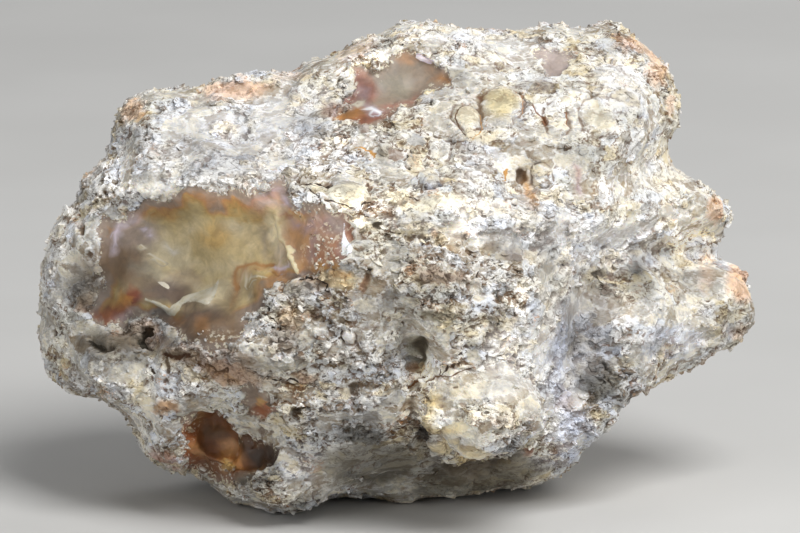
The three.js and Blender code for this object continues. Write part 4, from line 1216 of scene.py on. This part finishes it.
def sculpt(points, normals):
    """Displaced points, what the material has to know about each, and how much each wants a chip."""
    sights = sights_of(points, normals)
    inside = windows_seen(points, sights)
    in_window = smooth_step(inside, -0.15, 0.2)
    on_crust = 1 - in_window
    bare = smooth_step(waves(points * np.array((0.7, 0.8, 1.0)), 4.2, seed=301), 0.09, 0.22) * on_crust
    flecked = share_in_places(FLECKED_PLACES, sights) * in_window
    rough = roughness_of_crust(sights) * (1 - 0.65 * bare) * (1 - 0.95 * in_window)
    lines = Lines(sights)
    plates = Plates(sights)

    pit = scattered_pits(points, 4.2, 0.42, seed=61) + 0.7 * scattered_pits(points, 2.0, 0.3, seed=71)
    pocket = share_in_places(DEEP_PLACES, sights) * smooth_step(inside, -0.2, 1.9)
    relief = crust_relief(points) * rough
    relief -= (PIT_DEPTH * pit * rough + holes_in_places(sights)) * on_crust
    relief -= WINDOW_DROP * in_window + BARE_DROP * bare
    relief += in_window * 0.25 * waves(points, 3.6, seed=91, octaves=2)
    relief -= pocket * (0.9 + 0.7 * waves(points, 2.2, seed=97))
    relief += raised_buttons(sights) + ledge_steps(sights) + ribs_and_grooves(sights)
    relief += plates.rise - lines.cut
    sideways = waves_each_way(points, 1.6, seed=95)
    moved = points + normals * relief[:, None] + SIDEWAYS * sideways * rough[:, None]
    moved[:, 2] = np.where(points[:, 2] < FLAT_PATCH, 0.0, np.maximum(moved[:, 2], 0.0))

    known = {
        "inside": inside,
        "bare": bare,
        "plate": plates.inside,
        "line_side": lines.side,
        "line_near": lines.near,
        "rough": rough,
        "shade": level_field(sights),
        "flecked": flecked,
        "weathered": smooth_step(-sights["front"].facing, -0.35, 0.4),
        # tone: painted light and shade, partly the stone's own tone
        "tone": painted_light_shade_and_tone(sights),
        "marks": marks_of(sights, on_crust, in_window),
        "line": np.column_stack([lines.colour, lines.near]),
        "plate_colour": np.column_stack([plates.colour, level_field(sights, 1.0)]),
    }
    clear = on_crust * smooth_step(-plates.inside, -0.1, 0.4) * (1 - lines.near)
    return moved, known, rough**2 * clear + 0.5 * flecked


# Meshes

def mesh_of_node():
    """A copy of the CAD stone, subdivided into a fine smooth mesh."""
    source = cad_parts[NODE]
    stone = source.copy()
    stone.data = source.data.copy()
    stone.name = "agate_stone"
    bpy.context.scene.collection.objects.link(stone)
    stone.modifiers.new("weld", "WELD").merge_threshold = 1e-6
    finer = stone.modifiers.new("finer", "SUBSURF")
    finer.levels = SUBDIVISIONS
    finer.render_levels = SUBDIVISIONS
    apply_modifiers(stone)
    return stone


def apply_modifiers(thing):
    """Makes what the modifiers show the object's own mesh."""
    graph = bpy.context.evaluated_depsgraph_get()
    finished = bpy.data.meshes.new_from_object(thing.evaluated_get(graph))
    thing.modifiers.clear()
    thing.data = finished


def read_numbers(items, name, width, kind=np.float32):
    """One property of all points or edges, with a row for each."""
    flat = np.empty(width * len(items), kind)
    items.foreach_get(name, flat)
    return flat.reshape(-1, width)


def read_points(mesh):
    return read_numbers(mesh.vertices, "co", 3).astype(np.float64) / MM


def read_normals(mesh):
    return read_numbers(mesh.vertices, "normal", 3).astype(np.float64)


def write_points(mesh, points):
    mesh.vertices.foreach_set("co", (points * MM).astype(np.float32).ravel())
    mesh.update()


def write_values(mesh, fields):
    """Named fields as the mesh's attributes: a value for each point, or a colour and its share."""
    for name, values in fields.items():
        kind, part = ("FLOAT", "value") if values.ndim == 1 else ("FLOAT_COLOR", "color")
        attribute = mesh.attributes.new(name, kind, "POINT")
        attribute.data.foreach_set(part, values.astype(np.float32).ravel())


def thin_out(stone):
    """Collapses the flattest places until the mesh is within the limit."""
    faces = sum(len(face.vertices) - 2 for face in stone.data.polygons)
    if faces <= FACE_LIMIT:
        return
    fewer = stone.modifiers.new("fewer", "DECIMATE")
    fewer.ratio = FACE_LIMIT / faces
    fewer.use_collapse_triangulate = True
    apply_modifiers(stone)
    points = read_points(stone.data)
    points[:, 2] = np.maximum(points[:, 2], 0.0)
    write_points(stone.data, points)


def nearest_of(old_points, new_points):
    """For each new point, the number of the old point that is nearest to it."""
    tree = KDTree(len(old_points))
    for number, point in enumerate(old_points):
        tree.insert(point, number)
    tree.balance()
    return np.array([tree.find(point)[1] for point in new_points])


def hollowness(points, normals, edges, rounds):
    """How far each point lies below the ground around it, in millimetres, after smoothing rounds."""
    count = len(points)
    start, end = edges[:, 0], edges[:, 1]
    neighbours = np.bincount(start, minlength=count) + np.bincount(end, minlength=count)
    smooth = points.copy()
    for _ in range(rounds):
        for axis in range(3):
            total = np.bincount(start, smooth[end, axis], count)
            total = total + np.bincount(end, smooth[start, axis], count)
            smooth[:, axis] = 0.5 * smooth[:, axis] + 0.5 * total / neighbours
    return np.einsum("ij,ij->i", smooth - points, normals)


# The chips, in millimetres. Each has its own row of luck, numbers from 0 to 1.

def chip_spots(points, wanted):
    """The numbers of the points that carry a chip, more in some patches than in others."""
    clusters = 0.25 + 0.75 * smooth_step(waves(points, 3.2, seed=401), -0.15, 0.15)
    chance = wanted * clusters * (points[:, 2] > CHIP_FREE_HEIGHT)
    draw = hashed(np.arange(len(points))[:, None] + np.array((0, 5, 9)), 77)
    return np.flatnonzero(chance / chance.sum() * CHIP_COUNT > draw)


def chip_axes(normal, turn):
    """Two directions that lie along the ground, turned about its normal."""
    level = np.cross(normal, (0.0, 0.0, 1.0))
    level /= np.linalg.norm(level, axis=1)[:, None] + 1e-9
    rising = np.cross(level, normal)
    cosine = np.cos(turn)[:, None]
    sine = np.sin(turn)[:, None]
    return level * cosine + rising * sine, rising * cosine - level * sine


def chip_corners(at, normal, luck, shrink):
    """For each chip a ring of corners sunk in the stone, a smaller leaning ring over it, and a top."""
    along, over = chip_axes(normal, (luck[:, 0] - 0.5) * 1.7)
    reach = (0.26 + 0.7 * luck[:, 1] ** 2) * shrink
    thin = 0.3 + 0.42 * luck[:, 2]
    lean = (luck[:, 3:5] - 0.5) * 1.1
    rise = 0.04 + 0.14 * luck[:, 5]
    corners = []
    for ring_scale, sunk in ((1.0, True), (0.8, False)):
        for step in range(CHIP_SIDES):
            angle = math.tau * step / CHIP_SIDES
            out = reach * (0.6 + 0.55 * luck[:, 6 + step]) * ring_scale
            side = out * math.cos(angle)
            up = out * math.sin(angle) * thin
            height = np.full(len(at), -CHIP_ROOT) if sunk else rise + lean[:, 0] * side + lean[:, 1] * up
            corners.append(at + along * side[:, None] + over * up[:, None] + normal * height[:, None])
    corners.append(at + normal * (rise + 0.05 * (luck[:, 13] - 0.5))[:, None])
    places = np.stack(corners, 1)
    places[..., 2] = np.maximum(places[..., 2], FLAT_PATCH)
    return places.reshape(-1, 3)


def chip_faces(count):
    """For each chip and side, two triangles between the rings and one up to the top."""
    pattern = []
    for step in range(CHIP_SIDES):
        after = (step + 1) % CHIP_SIDES
        pattern.append((step, after, CHIP_SIDES + after))
        pattern.append((step, CHIP_SIDES + after, CHIP_SIDES + step))
        pattern.append((CHIP_SIDES + step, CHIP_SIDES + after, 2 * CHIP_SIDES))
    return (np.array(pattern) + CHIP_CORNERS * np.arange(count)[:, None, None]).reshape(-1, 3)


def make_chips(points, normals, known, wanted):
    """Small angular chips, as one joined mesh that takes its marks from the stone under it."""
    chosen = chip_spots(points, wanted)
    count = len(chosen)
    number = np.arange(count)[:, None] + np.array((0, 3, 11))
    luck = np.concatenate([hashed_three(number, seed) for seed in range(81, 87)], 1)
    shrink = 1 - 0.65 * known["flecked"][chosen]
    places = chip_corners(points[chosen], normals[chosen], luck, shrink)
    under = np.repeat(chosen, CHIP_CORNERS)
    on_top = np.tile(np.arange(CHIP_CORNERS) >= CHIP_SIDES, count)
    fields = {name: values[under] for name, values in known.items()}
    # painted shade on the chips' sides and a painted highlight on their tops, through the hollow field
    fields["hollow"] = np.where(on_top, -0.05, 0.14)
    fields["shade"] = np.repeat(luck[:, 14] - 0.5, CHIP_CORNERS)
    fields["inside"] = np.full(len(places), -1.0)
    fields["marks"][:, 3] *= 1 - fields["flecked"]
    mesh = bpy.data.meshes.new("agate_chips")
    mesh.from_pydata((places * MM).tolist(), [], chip_faces(count).tolist())
    write_values(mesh, fields)
    chips = bpy.data.objects.new("agate_chips", mesh)
    bpy.context.scene.collection.objects.link(chips)
    return chips


def make_stone():
    stone = mesh_of_node()
    normals = read_normals(stone.data)
    edges = read_numbers(stone.data.edges, "vertices", 2, np.int32)
    points, known, wanted = sculpt(read_points(stone.data), normals)
    write_points(stone.data, points)
    known["hollow"] = hollowness(points, normals, edges, rounds=8)
    known["deep_hollow"] = hollowness(points, normals, edges, rounds=90)
    known["hollow"][points[:, 2] < FLAT_PATCH] = 0
    chips = make_chips(points, read_normals(stone.data), known, wanted)
    thin_out(stone)
    chosen = nearest_of(points, read_points(stone.data))
    write_values(stone.data, {name: values[chosen] for name, values in known.items()})
    for face in stone.data.polygons:
        face.use_smooth = True
    stone.data.materials.clear()
    return stone, chips


# Materials

class Paint:
    """Short ways to add linked nodes to one material. Sizes are in millimetres."""

    def __init__(self, name):
        self.material = bpy.data.materials.new(name)
        self.material.use_nodes = True
        self.tree = self.material.node_tree
        self.tree.nodes.clear()
        self.shader = self.node("BsdfPrincipled", {})
        self.node("OutputMaterial", {"Surface": self.shader.outputs["BSDF"]})
        self.place = self.stretch(self.node("TexCoord", {}).outputs["Object"], (1 / MM,) * 3)

    def node(self, kind, fed, **settings):
        """A new node with some settings, and some of its inputs fed."""
        node = self.tree.nodes.new("ShaderNode" + kind)
        for name, setting in settings.items():
            setattr(node, name, setting)
        for name, value in fed.items():
            self.feed(node.inputs[name], value)
        return node

    def feed(self, socket, value):
        """Links a socket to another, or sets it to a palette colour or a plain value."""
        if isinstance(value, bpy.types.NodeSocket):
            self.tree.links.new(value, socket)
        elif isinstance(value, str):
            socket.default_value = (*linear(value), 1)
        else:
            socket.default_value = value

    def stretch(self, place, factors):
        return self.node("VectorMath", {0: place, 1: factors}, operation="MULTIPLY").outputs[0]

    def add_vectors(self, first, second):
        return self.node("VectorMath", {0: first, 1: second}, operation="ADD").outputs[0]

    def maths(self, operation, *values):
        return self.node("Math", dict(enumerate(values)), operation=operation).outputs[0]

    def times(self, *factors):
        """The product of some values."""
        total = factors[0]
        for factor in factors[1:]:
            total = self.maths("MULTIPLY", total, factor)
        return total

    def centred(self, value):
        """A value from 0 to 1, moved to lie round 0."""
        return self.maths("SUBTRACT", value, 0.5)

    def weigh(self, *shares):
        """The sum of some values, each times its own weight."""
        total = 0.0
        for value, weight in shares:
            total = self.node("Math", {0: value, 1: weight, 2: total}, operation="MULTIPLY_ADD").outputs[0]
        return total

    def between(self, value, low, high, start=0.0, end=1.0):
        """Goes smoothly from start to end while the value goes from low to high."""
        fed = {"Value": value, "From Min": low, "From Max": high, "To Min": start, "To Max": end}
        return self.node("MapRange", fed, interpolation_type="SMOOTHSTEP").outputs[0]

    def blend_values(self, share, under, over):
        return self.node("Mix", {0: share, 2: under, 3: over}, data_type="FLOAT").outputs[0]

    def mix(self, share, under, over, blend="MIX"):
        return self.node("Mix", {0: share, 6: under, 7: over}, data_type="RGBA", blend_type=blend).outputs[2]

    def tinted(self, colour, tint):
        return self.mix(1.0, colour, tint, "MULTIPLY")

    def lay(self, under, over, *shares):
        """One colour laid over another, as fully as the product of some shares says."""
        return self.mix(self.times(*shares), under, over)

    def noise(self, size, detail=2.0, roughness=0.5, place=None, twist=0.0):
        return self.noise_node(size, detail, roughness, place, twist).outputs["Fac"]

    def noise_node(self, size, detail, roughness=0.5, place=None, twist=0.0):
        return self.node("TexNoise", {
            "Vector": place or self.place, "Scale": 1 / size,
            "Detail": detail, "Roughness": roughness, "Distortion": twist,
        })

    def cells(self, size, place, feature):
        return self.node("TexVoronoi", {"Vector": place, "Scale": 1 / size}, feature=feature)

    def ramp(self, value, *stops):
        """A colour for the value, from (value, palette name) stops."""
        node = self.node("ValToRGB", {0: value})
        elements = node.color_ramp.elements
        while len(elements) < len(stops):
            elements.new(0.5)
        for element, (position, name) in zip(elements, stops):
            element.position = position
            element.color = (*linear(name), 1)
        return node.outputs["Color"]

    def known(self, name, output="Fac"):
        """What the mesh says about the point."""
        return self.node("Attribute", {}, attribute_name=name).outputs[output]

    def warped(self, size, amount):
        """The place, shifted about by noise."""
        noise = self.noise_node(size, 2.0).outputs["Color"]
        centred = self.add_vectors(noise, (-0.5, -0.5, -0.5))
        return self.add_vectors(self.place, self.stretch(centred, (2 * amount,) * 3))

    def bump(self, height, distance):
        """Normals as if the surface stood out by height times distance, in millimetres."""
        fed = {"Strength": 1.0, "Distance": distance * MM, "Height": height}
        return self.node("Bump", fed).outputs["Normal"]


class Agate(Paint):
    """The stone's own material: chalky crust, bare chalcedony, waxy windows, plates and lines.

    The limits that noise is compared with are near its middle, 0.5."""

    def __init__(self):
        super().__init__("agate")
        self.inside = self.known("inside")
        self.rough = self.known("rough")
        self.edge_noise = self.noise(0.8, 3.0, 0.65)
        flat_place = self.stretch(self.warped(1.2, 0.45), (0.6, 0.85, 1.0))
        self.flakes = self.noise(1.1, 4.0, 0.68, flat_place, twist=0.8)
        self.specks = self.noise(0.32, 2.0, 0.6, flat_place)
        scale_place = self.stretch(self.warped(0.8, 0.5), (0.5, 0.75, 1.0))
        scale_colour = self.cells(1.5, scale_place, "F1").outputs["Color"]
        self.scales, self.scale_hue = self.node("SeparateColor", {0: scale_colour}).outputs[:2]
        self.scale_rim = self.cells(1.5, scale_place, "DISTANCE_TO_EDGE").outputs["Distance"]
        ragged = self.weigh((self.inside, 1.0), (self.centred(self.edge_noise), 1.8))
        self.in_window = self.between(ragged, -0.05, 0.1)
        self.bare = self.between(self.weigh((self.known("bare"), 1.0), (self.edge_noise, 1.2)), 0.95, 1.25)
        self.marks_colour = self.known("marks", "Color")
        self.marks_share = self.known("marks", "Alpha")
        self.colour_in()
        self.finish_surface()

    def chalky_crust(self):
        """White and cream flakes over grey, some warmer, yellower or bluer than others."""
        contrast = self.between(self.rough, 0.2, 1.3, 0.7, 1.75)
        mixed = self.weigh((self.flakes, 0.5), (self.specks, 0.4), (self.scales, 0.2))
        fleck = self.maths("SUBTRACT", mixed, 0.545)
        tone = self.maths("ADD", self.times(fleck, contrast), 0.5)
        tone = self.weigh((tone, 1.0), (self.known("shade"), 0.14))
        cool = self.ramp(tone, (0.32, "olive_taupe"), (0.41, "grey"), (0.47, "blue_grey"),
                         (0.54, "white"), (0.72, "blue_white"))
        warm = self.ramp(tone, (0.32, "gap_brown"), (0.40, "olive_taupe"), (0.46, "ivory"),
                         (0.54, "cream"), (0.70, "white"))
        broad = self.between(self.noise(9.0, 3.0, 0.6), 0.38, 0.62)
        colour = self.mix(self.between(broad, 0.0, 1.0, 0.15, 0.85), cool, warm)
        hue = self.weigh((self.scale_hue, 0.5), (self.noise(2.6, 3.0, 0.6), 0.9))
        yellow = self.between(hue, 0.76, 0.96, 0.0, 0.7)
        colour = self.mix(yellow, colour, self.tinted(colour, "pale_yellow"))
        bluish = self.between(hue, 0.72, 0.5, 0.0, 0.7)
        return self.mix(bluish, colour, self.tinted(colour, "cool_light"))

    def gaps_and_flecks(self, colour):
        """White rims, brown gaps and dark pits between the flakes, rusty flecks, and a faint blush."""
        rims = self.between(self.scale_rim, 0.13, 0.05)
        colour = self.lay(colour, "white", rims, self.between(self.flakes, 0.46, 0.56), 0.55)
        splits = self.between(self.scale_rim, 0.05, 0.02)
        colour = self.lay(colour, "gap_brown", splits, self.between(self.edge_noise, 0.5, 0.56), 0.75)
        wriggle = self.maths("ABSOLUTE", self.centred(self.noise(0.9, 3.0, 0.6, twist=1.2)))
        gaps = self.between(wriggle, 0.024, 0.006)
        colour = self.lay(colour, "gap_brown", gaps, self.between(self.edge_noise, 0.45, 0.55), 0.8)
        long_place = self.stretch(self.place, (0.55, 0.8, 1.0))
        pits = self.between(self.noise(0.55, 1.0, 0.5, long_place), 0.35, 0.315)
        colour = self.lay(colour, "umber", pits, self.between(self.rough, 0.3, 0.9), 0.85)
        rust_places = self.between(self.noise(3.0, 4.0, 0.6), 0.58, 0.68)
        colour = self.lay(colour, "rust_fleck", rust_places, self.between(self.specks, 0.45, 0.62), 0.65)
        blush = self.between(self.noise(8.0, 4.0, 0.55), 0.47, 0.62)
        return self.lay(colour, "peach", blush, self.known("weathered"), 0.4)

    def bare_chalcedony(self):
        """Grey, olive and taupe in small cells with pale rims, where the crust is thin."""
        veins = self.noise(1.8, 4.0, 0.6, twist=0.5)
        tone = self.weigh((veins, 0.6), (self.specks, 0.2), (self.scales, 0.2))
        colour = self.ramp(
            tone, (0.36, "window_brown"), (0.43, "olive_taupe"), (0.51, "grey"), (0.6, "ivory"))
        rim = self.between(self.scale_rim, 0.13, 0.03)
        return self.lay(colour, "white", rim, self.between(self.specks, 0.4, 0.55), 0.7)

    def crust(self):
        """The crust with painted shade in the hollows, painted highlights on the crests, and the marks
        soaked into it.
        """
        hollow = self.known("hollow")
        colour = self.gaps_and_flecks(self.chalky_crust())
        colour = self.lay(colour, self.bare_chalcedony(), self.bare, 0.75)
        # painted shade: browner and darker in the hollows
        painted_hollow_shade = self.between(self.weigh((hollow, 1.0), (self.specks, 0.12)), 0.07, 0.22)
        colour = self.lay(colour, "gap_brown", painted_hollow_shade, 0.75)
        # painted shade: olive-grey in the deep hollows
        colour = self.lay(colour, "shadow_olive", self.between(self.known("deep_hollow"), 0.1, 0.9), 0.5)
        # painted highlight: paler on the raised crests
        colour = self.lay(colour, "white", self.between(hollow, -0.03, -0.18), 0.35)
        loose_share = self.weigh((self.marks_share, 1.0), (self.centred(self.flakes), 0.9))
        crust_share = self.times(self.between(loose_share, 0.15, 0.8), self.marks_share)
        grained = self.tinted(self.marks_colour, self.tinted(colour, (1.5, 1.5, 1.5, 1)))
        return self.mix(crust_share, colour, self.mix(0.65, self.marks_colour, grained))

    def window(self):
        """Waxy bands that follow the rim, the marks, a faint veil of threads, and crumbs of crust."""
        swaying = self.weigh((self.inside, 1.0), (self.noise(2.6, 3.0, 0.5), 2.0))
        layers = self.times(self.maths("SUBTRACT", swaying, 1.0), 0.2)
        colour = self.ramp(layers, (0.0, "taupe"), (0.2, "light_taupe"), (0.27, "caramel"),
                           (0.33, "honey"), (0.42, "olive_cream"), (0.9, "pale_olive"))
        colour = self.mix(self.marks_share, colour, self.marks_colour)
        swirling = self.warped(2.2, 1.4)
        threads = self.noise(1.0, 4.0, 0.65, swirling)
        clouds = self.noise(3.0, 3.0, 0.6, swirling, twist=1.0)
        rings = self.maths("SINE", self.times(swaying, 11.0))
        veil = self.weigh((threads, 0.75), (clouds, 0.7), (rings, 0.018))
        colour = self.tinted(colour, self.between(veil, 0.5, 0.95, 0.74, 1.06))
        fleck_share = self.maths("MAXIMUM", self.between(self.inside, 0.7, 0.1), self.known("flecked"))
        crumbs = self.between(self.noise(0.5, 3.0, 0.6), 0.54, 0.6)
        return self.lay(colour, "cream", fleck_share, crumbs, 0.75)

    def with_plates(self, colour):
        depth = self.weigh((self.known("plate"), 1.0), (self.centred(self.specks), 0.2))
        chalky = self.between(self.flakes, 0.4, 0.6, 0.0, 0.3)
        plate = self.mix(chalky, self.known("plate_colour", "Color"), "white")
        return self.mix(self.between(depth, -0.04, 0.04), colour, plate)

    def with_thin_lines(self, colour):
        """Broken crisp lines on the crust, and soft threads in the windows."""
        side = self.known("line_side")
        wandering = self.weigh((side, 1.0), (self.centred(self.edge_noise), 4.5))
        broken = self.weigh((self.maths("ABSOLUTE", wandering), 1.0), (self.centred(self.specks), 2.2))
        crisp = self.between(broken, 1.3, 0.7)
        soft = self.between(self.maths("ABSOLUTE", side), 2.6, 0.0, 0.0, 0.8)
        line = self.blend_values(self.in_window, crisp, soft)
        nearness = self.between(self.known("line_near"), 0.3, 0.6)
        return self.lay(colour, self.known("line", "Color"), line, nearness)

    def colour_in(self):
        colour = self.mix(self.in_window, self.crust(), self.window())
        colour = self.with_thin_lines(self.with_plates(colour))
        # painted light and shade, with some of the stone's own tone: the base colour made lighter or darker
        # by the tone attribute
        colour = self.tinted(colour, self.maths("ADD", self.known("tone"), 1.0))
        self.feed(self.shader.inputs["Base Color"], colour)

    def finish_surface(self):
        """Matt crust with a fine grain, and smoother wax that lets a little light in."""
        chalky = self.between(self.edge_noise, 0.35, 0.65, 0.72, 0.92)
        waxy = self.between(self.noise(2.0, 2.0), 0.35, 0.65, 0.46, 0.6)
        smoothness = self.maths("MAXIMUM", self.in_window, self.times(self.bare, 0.6))
        strength = self.times(
            self.maths("SUBTRACT", 1.0, self.in_window), self.between(self.rough, 0.0, 1.0, 0.3, 1.0))
        grain = self.times(
            self.weigh((self.flakes, 0.9), (self.specks, 0.45), (self.scales, 0.2)), strength)
        surface = {
            "Roughness": self.blend_values(smoothness, chalky, waxy),
            "Subsurface Weight": self.times(smoothness, 0.4),
            "Subsurface Radius": (1.0, 0.75, 0.45),
            "Subsurface Scale": 1.4 * MM,
            "IOR": 1.54,
            "Normal": self.bump(grain, 0.45),
        }
        for name, value in surface.items():
            self.feed(self.shader.inputs[name], value)


def floor_material():
    paint = Paint("pale_floor")
    tone = paint.between(paint.noise(60.0, 3.0), 0.3, 0.7)
    colour = paint.mix(tone, (0.52, 0.515, 0.5, 1), (0.55, 0.545, 0.53, 1))
    paint.feed(paint.shader.inputs["Base Color"], colour)
    paint.feed(paint.shader.inputs["Roughness"], 0.9)
    return paint.material


# The studio

def make_floor():
    bpy.ops.mesh.primitive_plane_add(size=6)
    floor = bpy.context.object
    floor.name = "floor"
    floor.data.materials.append(floor_material())


def add_object(name, data, place, target):
    """Puts a light or camera in the scene, aimed at a point."""
    thing = bpy.data.objects.new(name, data)
    bpy.context.scene.collection.objects.link(thing)
    thing.location = place
    thing.rotation_euler = (Vector(target) - Vector(place)).to_track_quat("-Z", "Y").to_euler()
    return thing


def make_lights():
    for name, (place, size, power) in LIGHTS.items():
        light = bpy.data.lights.new(name, "AREA")
        light.size = size
        light.energy = power
        add_object(name, light, place, HEART * MM)
    world = bpy.data.worlds.new("studio")
    world.use_nodes = True
    background = world.node_tree.nodes["Background"]
    background.inputs["Color"].default_value = (0.95, 0.97, 1.0, 1)
    background.inputs["Strength"].default_value = SURROUNDING_LIGHT
    bpy.context.scene.world = world
    bpy.context.scene.view_settings.view_transform = "Standard"


def make_camera():
    data = bpy.data.cameras.new("camera")
    data.sensor_width = SENSOR_WIDTH
    data.lens = SENSOR_WIDTH * CAMERA_DISTANCE / PICTURE_WIDTH
    data.clip_end = 20
    middle = (HEART + ACROSS_AXIS * HEART_OFFSET[0] + UP_AXIS * HEART_OFFSET[1]) * MM
    camera = add_object("camera", data, middle - DEEP_AXIS * CAMERA_DISTANCE, middle)
    bpy.context.scene.camera = camera


make_camera()
stone, chips = make_stone()
agate = Agate().material
for piece in (stone, chips):
    piece.data.materials.append(agate)
    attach(piece, "root")
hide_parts(NODE)
make_floor()
make_lights()
